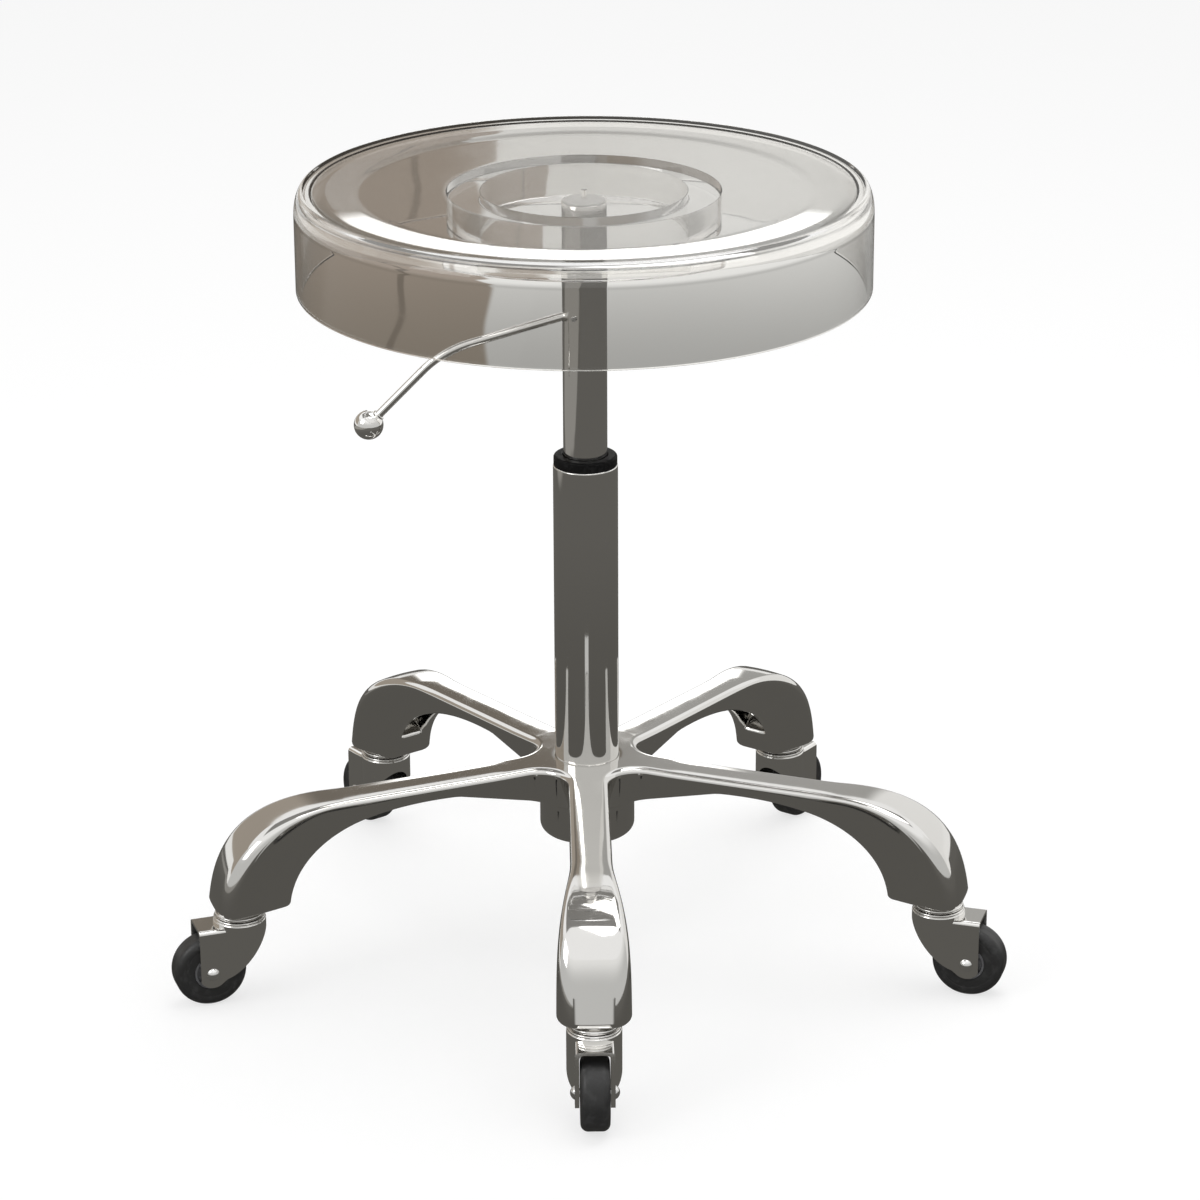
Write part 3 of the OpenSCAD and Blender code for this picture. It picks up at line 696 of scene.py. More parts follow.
@dataclass
class Seat:
    """The clear seat: shell, support ring and boss, bonded into one. Sizes in millimetres."""

    outer_r: float = 192.0
    top_z: float = 553.0
    height: float = 69.0
    wall: float = 4.0
    plate: float = 4.5
    roll_w: float = 6.5
    roll_h: float = 17.0
    slope_w: float = 40.0
    dish: float = 2.6
    lip_r: float = 1.6
    ring_r: float = 91.0
    ring_wall: float = 22.0
    ring_h: float = 29.0
    boss_r: float = 1.6
    boss_t: float = 10.1
    corner_w: float = 9.0
    corner_h: float = 12.0
    glue: float = 0.35
    edge_r: float = 0.8
    boss_edge: float = 0.3
    ring_land: float = 4.0
    steps: int = 24
    turns: int = 256

    def crest(self) -> float:
        """Radius of the rim's highest line."""
        return self.outer_r - self.roll_w

    def outside(self) -> list[Point]:
        """The shell's outer line from the middle over the rim to the skirt.

        Returns:
            The line's points, as radius and height.
        """
        n = self.steps
        low_r = self.crest() - self.slope_w
        low = self.top_z - self.dish
        line = [(low_r * i / 4, low) for i in range(4)]
        line += [(low_r + self.slope_w * i / n, low + self.dish * ramp(i / n)) for i in range(n)]
        return line + oval(self.crest(), self.top_z - self.roll_h, self.roll_w, self.roll_h,
                           90, 0, n)

    def inside(self) -> list[Point]:
        """The shell's inner line from the skirt up to the ring, a plate's thickness below.

        Returns:
            The line's points, as radius and height.
        """
        n = self.steps
        under = self.top_z - self.plate
        corner_r = self.outer_r - self.wall - self.corner_w
        low_r = self.crest() - self.slope_w
        line = oval(corner_r, under - self.corner_h, self.corner_w, self.corner_h, 0, 90, n)
        line += [(between(corner_r, low_r, i / n), under - self.dish * ramp(i / n))
                 for i in range(1, n + 1)]
        return line + [(self.ring_r + self.ring_land, under - self.dish)]

    def drum(self, outer: float, inner: float, height: float, edge: float) -> list[Point]:
        """The line round something bonded under the plate, from its outer to its inner wall.

        Args:
            outer: its outer radius.
            inner: its inner radius, 0 for a full disc.
            height: how far it reaches below the plate's underside at the rim.
            edge: rounding of its lower edges.

        Returns:
            The line's points.
        """
        under, g = self.top_z - self.plate - self.dish, self.glue
        low = self.top_z - self.plate - height
        line = arc(outer + g, under - g, g, 90, 180, 3)
        line += arc(outer - edge, low + edge, edge, 0, -90, 4)
        if inner > 0:
            line += arc(inner + edge, low + edge, edge, -90, -180, 4)
            line += arc(inner - g, under - g, g, 0, 90, 3)
        return line

    def body(self) -> Shape:
        """The shell with its rolled rim and deep skirt, and the ring and the boss under it.

        Returns:
            The shape.
        """
        bottom, lip, edge = self.top_z - self.height, self.lip_r, self.edge_r
        line = self.outside() + arc(self.outer_r - lip, bottom + lip, lip, 0, -90, 5)
        line += arc(self.outer_r - self.wall + edge, bottom + edge, edge, -90, -180, 3)
        line += self.inside()
        line += self.drum(self.ring_r, self.ring_r - self.ring_wall, self.ring_h, edge)
        line += self.drum(self.boss_r, 0.0, self.boss_t, self.boss_edge)
        line += [(0.0, self.top_z - self.plate - self.boss_t)]
        return Shape().turned(line, False, self.turns).tidy()

    def build(self, clear: bpy.types.Material) -> None:
        """Makes the clear seat."""
        dress(self.body().piece("clear_seat"), "seat", ["seat_shell", "support_ring", "seat_boss"],
              Slot.CLEAR, clear)


@dataclass
class Column:
    """The plug, the upper tube, the collar and the stand tube. Sizes in millimetres."""

    upper_r: float = 15.0
    upper_wall: float = 1.5
    upper_low: float = 212.0
    upper_top: float = 538.0
    slot_w: float = 6.2
    slot_low: float = 459.3
    slot_top: float = 467.7
    lever_azimuth: float = 184.0
    stand_r: float = 22.1
    stand_wall: float = 2.0
    stand_low: float = 98.2
    stand_top: float = 358.0
    collar_h: float = 7.0
    bush_low: float = 284.0
    plug_h: float = 22.0
    head_h: float = 1.3
    head_inset: float = 0.8
    clear: float = 0.05
    rim_inset: float = 0.4
    slot_round: float = 2.2

    def upper_tube(self) -> Shape:
        """The tube that carries the seat, with the lever's slot.

        Returns:
            The shape.
        """
        inner = self.upper_r - self.upper_wall
        tube = Shape().lathed([
            (inner, self.upper_low, 0.3), (self.upper_r, self.upper_low, 0.5),
            (self.upper_r, self.upper_top, 0.5), (inner, self.upper_top, 0.3)], 3)
        cutter = Shape()
        bmesh.ops.create_cube(cutter.bm, size=1.0)
        size = (self.upper_r + 4, self.slot_w, self.slot_top - self.slot_low)
        cutter.move(Matrix.Diagonal((*size, 1)))
        cutter.edges_bevelled(self.slot_round, 80, 4)
        cutter.move(shift(size[0] / 2 + 2, 0, (self.slot_low + self.slot_top) / 2))
        cutter.move(turn_z(self.lever_azimuth))
        return tube.combined(cutter, "DIFFERENCE")

    def plug(self) -> Shape:
        """The plug that closes the tube's top, with a low rounded head on the tube's end.

        Returns:
            The shape.
        """
        bore, head = self.upper_r - self.upper_wall - self.clear, self.upper_r - self.head_inset
        seat, low = self.upper_top + 0.02, self.upper_top - self.plug_h
        top = self.upper_top + self.head_h
        return Shape().lathed([
            (0.0, low, 0), (bore, low, 0.8), (bore, seat, 0), (head, seat, 0.1), (head, top, 0.6),
            (0.0, top, 0)], 4, False)

    def stand_tube(self) -> Shape:
        """The tube that stands in the base, with a softly rolled top edge.

        Returns:
            The shape.
        """
        inner = self.stand_r - self.stand_wall
        return Shape().lathed([
            (inner, self.stand_low, 0.3), (self.stand_r, self.stand_low, 0.3),
            (self.stand_r, self.stand_top, 0.9), (inner, self.stand_top, 0.5)], 5)

    def bush(self) -> Shape:
        """The black collar and the sleeve below it.

        Returns:
            The shape.
        """
        bore = self.upper_r + self.clear
        sleeve = self.stand_r - self.stand_wall - self.clear
        rim = self.stand_r - self.rim_inset
        top = self.stand_top + self.collar_h
        return Shape().lathed([
            (bore, self.bush_low, 0.4), (sleeve, self.bush_low, 0.5), (sleeve, self.stand_top, 0),
            (rim, self.stand_top, 0.3), (rim, top, 1.8), (bore + 0.6, top, 0.6),
            (bore, top - 1.0, 0.3)], 6)

    def build(self, chrome: bpy.types.Material, nylon: bpy.types.Material,
              cap: bpy.types.Material) -> None:
        """Makes the four pieces of the column that show.

        Args:
            chrome: finish of the tubes.
            nylon: finish of the collar.
            cap: finish of the plug.
        """
        for name, shape, body, node, slot, material in (
                ("column_plug", self.plug(), "seat", "column_plug", Slot.STEEL, cap),
                ("column_upper_tube", self.upper_tube(), "seat", "upper_tube", Slot.TUBE, chrome),
                ("column_stand_tube", self.stand_tube(), "base", "stand_tube", Slot.TUBE, chrome),
                ("column_collar", self.bush(), "base", "guide_bush", Slot.NYLON, nylon)):
            dress(shape.piece(name), body, [node], slot, material)


@dataclass
class Lever:
    """The bent release lever and its ball knob. Sizes in millimetres."""

    azimuth: float = 184.0
    rod_r: float = 2.8
    pin: Point = (8.6, 464.71)
    slope_in: float = 15.0
    slope_out: float = 45.0
    bend_r: float = 75.0
    bend_at: float = 95.0
    upper_r: float = 15.0
    z: float = 463.0
    reach: float = 146.0
    knob_r: float = 10.0
    sides: int = 40
    paddle: Size = (13.0, 8.0, 4.0)
    paddle_ahead: float = 1.5
    collar_r: float = 4.1
    collar_h: float = 0.5

    def path(self) -> list[Point]:
        """The middle line of the rod, from the pin to the knob.

        Returns:
            Its points, as distance from the axis and height.
        """
        a, b = math.radians(self.slope_in), math.radians(self.slope_out)
        corner = self.z - (self.bend_at - self.upper_r) * math.tan(a)
        tangent = self.bend_r * math.tan((b - a) / 2)
        first = (self.bend_at - tangent * math.cos(a), corner + tangent * math.sin(a))
        last = (self.bend_at + tangent * math.cos(b), corner - tangent * math.sin(b))
        middle = (first[0] - self.bend_r * math.sin(a), first[1] - self.bend_r * math.cos(a))
        turn = arc(*middle, self.bend_r, 90 - self.slope_in, 90 - self.slope_out, 16)
        knob = (self.reach, corner - (self.reach - self.bend_at) * math.tan(b))
        return stretch(self.pin, first, 8) + turn + stretch(last, knob, 6)[1:] + [knob]

    def rod(self) -> Shape:
        """The rod, swept along its path, and the paddle inside the tube.

        Returns:
            The shape, along +X.
        """
        path = [Vector((x, 0, z)) for x, z in self.path()]
        shape = Shape()

        def place(i: int, j: int) -> Vector:
            """Point j round the rod at point i of its path.

            Args:
                i: number of the path's point.
                j: number of the point round the rod.

            Returns:
                The point.
            """
            ahead = (path[min(i + 1, len(path) - 1)] - path[max(i - 1, 0)]).normalized()
            up = ahead.cross(ACROSS)
            turn = math.tau * j / self.sides
            return path[i] + (ACROSS * math.cos(turn) + up * math.sin(turn)) * self.rod_r

        shape.grid(len(path), self.sides + 1, place)
        shape.tidy()
        bmesh.ops.holes_fill(shape.bm, edges=[e for e in shape.bm.edges if e.is_boundary])
        pad = Shape()
        bmesh.ops.create_cube(pad.bm, size=1.0)
        pad.move(Matrix.Diagonal((*self.paddle, 1)))
        pad.edges_bevelled(0.5, 30)
        pad.move(shift(self.pin[0] - self.paddle[0] / 2 + self.paddle_ahead, 0, self.pin[1]))
        return shape.tidy().combined(pad.tidy(), "UNION")

    def knob(self) -> Shape:
        """The ball, with a small flat collar where the rod enters.

        Returns:
            The shape, along +X.
        """
        collar, top = self.collar_r, self.knob_r + self.collar_h
        at = math.degrees(math.acos(collar / self.knob_r))
        line = [(0.0, top), (collar - 0.5, top), (collar, top - 0.35),
                (collar, self.knob_r - 0.9)]
        line += arc(0, 0, self.knob_r, at - 1.0, -90, 40)
        line[-1] = (0.0, -self.knob_r)
        ball = Shape().turned(line, False, 96).tidy()
        x, z = self.path()[-1]
        ball.move(Matrix.Rotation(math.radians(self.slope_out - 90), 4, "Y"))
        return ball.move(shift(x, 0, z))

    def build(self, chrome: bpy.types.Material) -> None:
        """Makes the lever's two pieces.

        Args:
            chrome: their finish.
        """
        for name, node, shape in (("lever_lever", "release_lever", self.rod()),
                                  ("lever_knob", "lever_knob", self.knob())):
            dress(shape.move(turn_z(self.azimuth)).piece(name), "lever", [node], Slot.LEVER,
                  chrome)


@dataclass
class StarBase:
    """The cast star: a hub and five goose-neck legs as one smooth casting, in millimetres.

    A pull is how far a curve's handle lies from the end that it belongs to. The three values of
    edge_w and edge_h are for the root, for what is added outwards and down the nose.
    """

    stem_circle_r: float = 252.2
    end_z: float = 66.2
    top_z: float = 145.2
    fall: float = 5.0
    half_w: float = 14.0
    end_half_w: float = 25.0
    end_l: float = 50.5
    nose_l: float = 18.0
    widen_l: float = 106.0
    bend_l: float = 90.0
    brow_pull: Point = (34.0, 0.3)
    nose_pull: Point = (6.0, 27.0)
    waist_pull: Point = (0.54, 1.5)
    heel_pull: Point = (7.0, 31.0)
    edge_l: float = 80.0
    edge_w: Size = (5.0, 7.0, 2.0)
    edge_h: Size = (4.0, 6.0, 4.0)
    brow: float = 22.0
    crown: float = 0.09
    nose_crown: float = 0.05
    crown_start: Point = (6.0, 30.0)
    crown_end: Point = (14.0, 50.0)
    root_r: float = 12.0
    root_depth: float = 32.0
    waist_depth: float = 9.5
    waist_at: float = 97.0
    foot_h: float = 5.0
    foot_inset: Point = (4.0, 6.0)
    heel_lift: float = 3.0
    crotch_r: float = 38.5
    seam_r: float = 33.5
    hub_r: float = 33.0
    hub_z: float = 88.2
    hub_round: float = 7.0
    bore_r: float = 22.15
    bore_z: float = 98.2
    bore_edge: float = 0.8
    low_bore_r: float = 18.6
    pad_r: float = 13.8
    pad_h: float = 7.5
    pad_edge: float = 0.6
    pad_bore: Point = (5.55, 7.0)
    channel_w: float = 9.6
    channel_from: float = 44.0
    channel_h: float = 18.0
    channel_ends: Size = (7.0, 5.0, 3.0)
    lip_w: float = 0.9
    roof: float = 5.0
    draft: float = 1.0
    under_round: float = 2.5
    upright_to: float = 160.0
    inner: int = 8
    edge_steps: int = 8
    wall_steps: int = 4
    under_steps: int = 4
    fillet_rows: int = 12
    straight_rows: int = 26
    bend_rows: int = 52
    foot_rows: int = 8
    flat_share: float = 0.107
    nose_r: float = field(init=False)
    heel_r: float = field(init=False)
    foot_z: float = field(init=False)
    bend_from: float = field(init=False)
    fillet_r: float = field(init=False)
    fillet_end: float = field(init=False)

    def __post_init__(self) -> None:
        """Works out the values that follow from the sizes."""
        self.nose_r = self.stem_circle_r + self.nose_l
        self.heel_r = self.nose_r - self.end_l
        self.foot_z = self.end_z + self.foot_h
        self.bend_from = self.nose_r - self.bend_l
        apex = self.half_w / math.sin(HALF_STEP)
        self.fillet_r = (self.crotch_r - apex) / (1 / math.sin(HALF_STEP) - 1)
        self.fillet_end = apex * math.cos(HALF_STEP) + self.fillet_r / math.tan(HALF_STEP)

    def top_bend(self) -> list[Point]:
        """Control points of the top line where it turns down to the caster.

        Returns:
            The four points.
        """
        z, brow, nose = self.top_z - self.fall, self.brow_pull, self.nose_pull
        return [(self.bend_from, z), (self.nose_r - brow[0], z - brow[1]),
                (self.nose_r - nose[0], self.top_z - nose[1]), (self.nose_r, self.foot_z)]

    def under_bend(self) -> list[Point]:
        """Control points of the underside from the waist to the heel.

        Returns:
            The four points.
        """
        z = self.top_z - self.fall - self.waist_depth
        share, rise = self.waist_pull
        return [(self.waist_at, z), (between(self.waist_at, self.heel_r, share), z + rise),
                (self.heel_r - self.heel_pull[0], self.top_z - self.heel_pull[1]),
                (self.heel_r, self.foot_z + self.heel_lift)]

    def top_at(self, s: float) -> float:
        """Height of the almost level top at a distance from the axis."""
        return self.top_z - self.fall * (s - self.root_r) / (self.bend_from - self.root_r)

    def under_at(self, s: float) -> float:
        """Height of the underside at a distance from the axis.

        Args:
            s: the distance.

        Returns:
            The height.
        """
        curve = self.under_bend()
        if s <= self.waist_at:
            low = self.top_z - self.root_depth
            return between(low, curve[0][1], (s - self.root_r) / (self.waist_at - self.root_r))
        return bezier(curve, self.under_share(s)).y

    def under_share(self, s: float) -> float:
        """How far along the underside's curve a distance from the axis lies.

        Args:
            s: the distance.

        Returns:
            The share of the curve, from 0 to 1.
        """
        curve, low, high = self.under_bend(), 0.0, 1.0
        for _ in range(40):
            middle = (low + high) / 2
            if bezier(curve, middle).x < s:
                low = middle
            else:
                high = middle
        return low

    def upright(self, s: float) -> tuple[Vector, Vector]:
        """The top and the underside of an upright section at a distance from the axis."""
        return Vector((s, self.top_at(s))), Vector((s, self.under_at(s)))

    def width(self, s: float) -> float:
        """Half width of a leg at a distance from the axis."""
        return between(self.half_w, self.end_half_w,
                       smooth_step((s - self.nose_r + self.widen_l) / self.widen_l))

    def edge(self, s: float, z: float) -> Point:
        """Width and depth of a leg's top edge rounding, which grows outwards and down the nose.

        Args:
            s: distance from the axis.
            z: height of the leg's top there.

        Returns:
            The width and the depth.
        """
        outwards = smooth_step((s - self.nose_r + self.edge_l) / self.edge_l)
        brow = self.top_z - self.brow
        down = smooth_step((brow - z) / (brow - self.foot_z))
        return tuple(least + out * outwards + low * down
                     for least, out, low in (self.edge_w, self.edge_h))

    def crown_at(self, s: float, z: float) -> float:
        """Slope of a leg's top at its edges, which makes it a little rounder in the middle.

        Args:
            s: distance from the axis.
            z: height of the leg's top there.

        Returns:
            The slope.
        """
        ahead, grow = self.crown_start
        drop, fade = self.crown_end
        start = self.crown * smooth_step((s - self.fillet_end + ahead) / grow)
        return between(start, self.nose_crown, smooth_step((self.top_z - drop - z) / fade))

    def columns(self, h: float, rw: float, rh: float) -> list[Point]:
        """Inset and height above the underside of the points down a leg's side.

        Args:
            h: height of the section.
            rw: width of the top edge's rounding.
            rh: depth of that rounding.

        Returns:
            The points from the top surface to the underside.
        """
        foot = self.under_round
        wall = stretch((0.0, h - rh), (self.draft, foot), self.wall_steps + 1)[1:]
        return (oval(rw, h - rh, -rw, rh, 90, 0, self.edge_steps) + wall
                + oval(self.draft + foot, foot, -foot, -foot, 0, 90, self.under_steps))

    def fan(self, j: int) -> Point:
        """How far column j of the inner part is swept back and stands out, from 0 to 1."""
        v = HALF_STEP * j / self.inner
        return (1 - math.cos(v)) / (1 - math.cos(HALF_STEP)), math.sin(v) / math.sin(HALF_STEP)

    def row(self, top: Vector, under: Vector, round_at: float, end_inset: float = 0.0,
            side_inset: float = 0.0, normal_at: float | None = None) -> list[Vector]:
        """Half a section of a leg, from the middle of its top round to the middle below.

        Args:
            top: distance from the axis and height of the section's top.
            under: the same for its underside.
            round_at: distance that sets the edge's rounding.
            end_inset: how far the section's top and bottom stand in.
            side_inset: how far its sides stand in.
            normal_at: angle of the fillet between two legs, in degrees, or none past it.

        Returns:
            The points in the leg's own frame.
        """
        up = (top - under).normalized()
        low = under + up * end_inset
        rw, rh = self.edge(round_at, top.y)
        crown = 0.0
        if normal_at is None:
            crown = self.crown_at(round_at, top.y) * (self.width(round_at) - rw) / 2
        h = (top - under).length - 2 * end_inset - crown
        side = self.columns(h, rw - side_inset, min(rh - end_inset, h / 2 - 0.1))
        points = []
        if normal_at is None:
            for inset, d in side:
                c = low + up * d
                points.append(Vector((c.x, self.width(c.x) - side_inset - inset, c.y)))
            middle_top, middle_low = low.x + up.x * h, low.x
        else:
            q = math.radians(normal_at)
            n = Vector((math.cos(q), math.sin(q)))
            centre = Vector((self.fillet_end, self.half_w + self.fillet_r))
            for inset, d in side:
                p = centre + n * (self.fillet_r + inset)
                points.append(Vector((
                    p.x, p.y, between(self.under_at(p.x), self.top_at(p.x), d / h))))
            x = (normal_at - FILLET_START) / FILLET_TURN
            middle_top = between(points[0].xy.length, self.fillet_end, x)
            middle_low = between(points[-1].xy.length, self.fillet_end, x)
        return (self.inward(points[0], middle_top, normal_at, True, up * crown)[::-1] + points
                + self.inward(points[-1], middle_low, normal_at, False, up * 0))

    def inward(self, edge: Vector, middle: float, normal_at: float | None, top: bool,
               rise: Vector) -> list[Vector]:
        """The points from a section's edge to its middle, without the edge.

        Args:
            edge: the section's edge point.
            middle: distance from the axis in the middle.
            normal_at: angle of the fillet, in degrees, or none past it.
            top: whether it is the section's top and not its underside.
            rise: how far the middle is raised above the edge.

        Returns:
            The points.
        """
        out = []
        for j in range(self.inner - 1, -1, -1):
            sweep, reach = self.fan(j)
            s, y = middle + (edge.x - middle) * sweep, edge.y * reach
            z = edge.z if normal_at is None else (self.top_at(s) if top else self.under_at(s))
            over = 1 - reach * reach
            out.append(Vector((s + rise.x * over, y, z + rise.y * over)))
        return out

    def channelled(self, row: list[Vector], depth: float, up: Vector) -> list[Vector]:
        """Raises the middle of a section's underside into the channel.

        Args:
            row: the section's points.
            depth: how deep the channel is there.
            up: direction of its depth in the leg's plane.

        Returns:
            The row with its channel.
        """
        n = self.inner
        lip = min(self.channel_w, row[-n - 1].y - self.lip_w)
        spots = [(lip + 0.7, 0.0), (lip, 0.12), (lip - 0.25, 0.5), (lip - 0.5, 0.86),
                 (lip - 1.4, 0.97), (lip * 0.6, 1.0), (lip * 0.3, 1.0), (0.0, 1.0)]
        x = smooth_step(depth / 4)
        for j, (y, share) in enumerate(spots):
            p = row[-n + j]
            rise = up * (depth * share)
            row[-n + j] = Vector((p.x + rise.x, between(p.y, y, x), p.z + rise.y))
        return row

    def rows(self) -> list[list[Vector]]:
        """All sections of half a leg, from the crotch to the foot.

        Returns:
            The sections, each as a row of points.
        """
        out = []
        for i in range(self.fillet_rows):
            x = i / self.fillet_rows
            s = between(self.seam_r, self.fillet_end, x)
            out.append(self.row(*self.upright(s), s, normal_at=FILLET_START + FILLET_TURN * x))
        pairs = [self.upright(between(self.fillet_end, self.upright_to, i / self.straight_rows))
                 for i in range(self.straight_rows)]
        start, flat = self.under_share(self.upright_to), self.flat_share
        for i in range(self.bend_rows + 1):
            x = i / self.bend_rows
            if x < flat:
                top = self.upright(between(self.upright_to, self.bend_from, x / flat))[0]
            else:
                top = bezier(self.top_bend(), (x - flat) / (1 - flat))
            pairs.append((top, bezier(self.under_bend(), between(start, 1, x))))
        inner, outer, short = self.channel_ends
        for top, under in pairs:
            up = (top - under).normalized()
            full = min((top - under).length - self.roof, self.channel_h)
            depth = full * smooth_step((under.x - self.channel_from) / inner) * smooth_step(
                (self.heel_r - short - under.x) / outer)
            out.append(self.channelled(self.row(top, under, top.x), max(depth, 0.0), up))
        for j in range(1, self.foot_rows + 1):
            q = math.radians(90 * j / self.foot_rows)
            drop, x = self.foot_h * math.sin(q), 1 - math.cos(q)
            out.append(self.row(Vector((self.nose_r, self.foot_z - drop)),
                                Vector((self.heel_r, self.foot_z + self.heel_lift - drop)),
                                self.nose_r, self.foot_inset[0] * x, self.foot_inset[1] * x))
        return out

    def polar(self) -> list[tuple[float, Callable[[float], float]]]:
        """Radius and height of the hub's rings, from the top's edge round to the underside.

        Returns:
            Each ring's radius, and what gives its height at a distance along the leg.
        """
        edge, low = self.bore_edge, self.hub_z + self.hub_round
        rings = [(between(self.seam_r, self.bore_r + edge, i / 4), self.top_at)
                 for i in range(5)]
        for r, z in arc(self.bore_r + edge, -edge, edge, 90, 180, 3)[1:]:
            rings.append((r, lambda s, z=z: self.top_at(s) + z))
        level = [(self.bore_r, self.bore_z), (self.low_bore_r, self.bore_z),
                 (self.low_bore_r, self.hub_z + edge), (self.low_bore_r + edge, self.hub_z)]
        for r, z in level + arc(self.hub_r - self.hub_round, low, self.hub_round, -90, 0, 8):
            rings.append((r, lambda s, z=z: z))
        for x in (0.4, 0.8):
            rings.append((self.hub_r, lambda s, x=x: between(low, self.under_at(s), x)))
        for off, drop in ((0.0, 1.0), (0.3, 0.3), (1.0, 0.0)):
            rings.append((self.hub_r + off, lambda s, d=drop: self.under_at(s) - d))
        return rings + [(self.crotch_r - self.under_round - self.draft, self.under_at)]

    def casting(self) -> Shape:
        """The whole star.

        Returns:
            The shape.
        """
        shape = Shape()
        rows = self.rows()
        shape.grid(len(rows), len(rows[0]), lambda i, j: rows[i][j])
        rings = self.polar()

        def ring_point(i: int, j: int) -> Vector:
            """Point j of ring i of the hub.

            Args:
                i: number of the ring.
                j: number of the point on it.

            Returns:
                The point.
            """
            r, height = rings[i]
            v = HALF_STEP * j / self.inner
            s = r * math.cos(v)
            return Vector((s, r * math.sin(v), height(s)))

        shape.grid(len(rings), self.inner + 1, ring_point)
        bmesh.ops.mirror(shape.bm, geom=shape.bm.verts[:] + shape.bm.edges[:] + shape.bm.faces[:],
                         matrix=Matrix.Identity(4), merge_dist=MERGE, axis="Y")
        shape.tidy(0.002)
        star = self.five(shape).tidy(0.005)
        feet = [e for e in star.bm.edges if e.is_boundary]
        LOG.info("open edges of the star before its feet are closed: %d", len(feet))
        bmesh.ops.holes_fill(star.bm, edges=feet, sides=0)
        return star.tidy(0.001)

    def pads(self) -> Shape:
        """The round pads between the legs and the casters' caps.

        Returns:
            The shape.
        """
        z, edge, bore, roof = self.end_z, self.pad_edge, self.pad_bore[0], self.pad_bore[1]
        line = [(0.0, z + self.pad_h), (self.pad_r, z + self.pad_h)]
        line += arc(self.pad_r - edge, z + edge, edge, 0, -90, 3)
        line += [(bore, z), (bore, z + roof), (0.0, z + roof)]
        pad = Shape().turned(line, False, 72).tidy()
        return self.five(pad.move(shift(self.stem_circle_r, 0, 0)))

    def five(self, shape: Shape) -> Shape:
        """A shape on the first leg's line, once for each leg.

        Args:
            shape: the shape, along +X.

        Returns:
            The five copies as one shape.
        """
        out = Shape()
        for k in LEGS:
            out.add(shape.copy().move(turn_z(leg_azimuth(k))))
        return out

    def build(self, cast: bpy.types.Material) -> None:
        """Makes the star and its pads.

        Args:
            cast: their finish.
        """
        star = self.casting().piece("star_casting", 50.0, False)
        dress(star, "base", ["star_base"], Slot.CAST, cast)
        dress(self.pads().piece("leg_pads"), "base", [], Slot.CAST, cast)


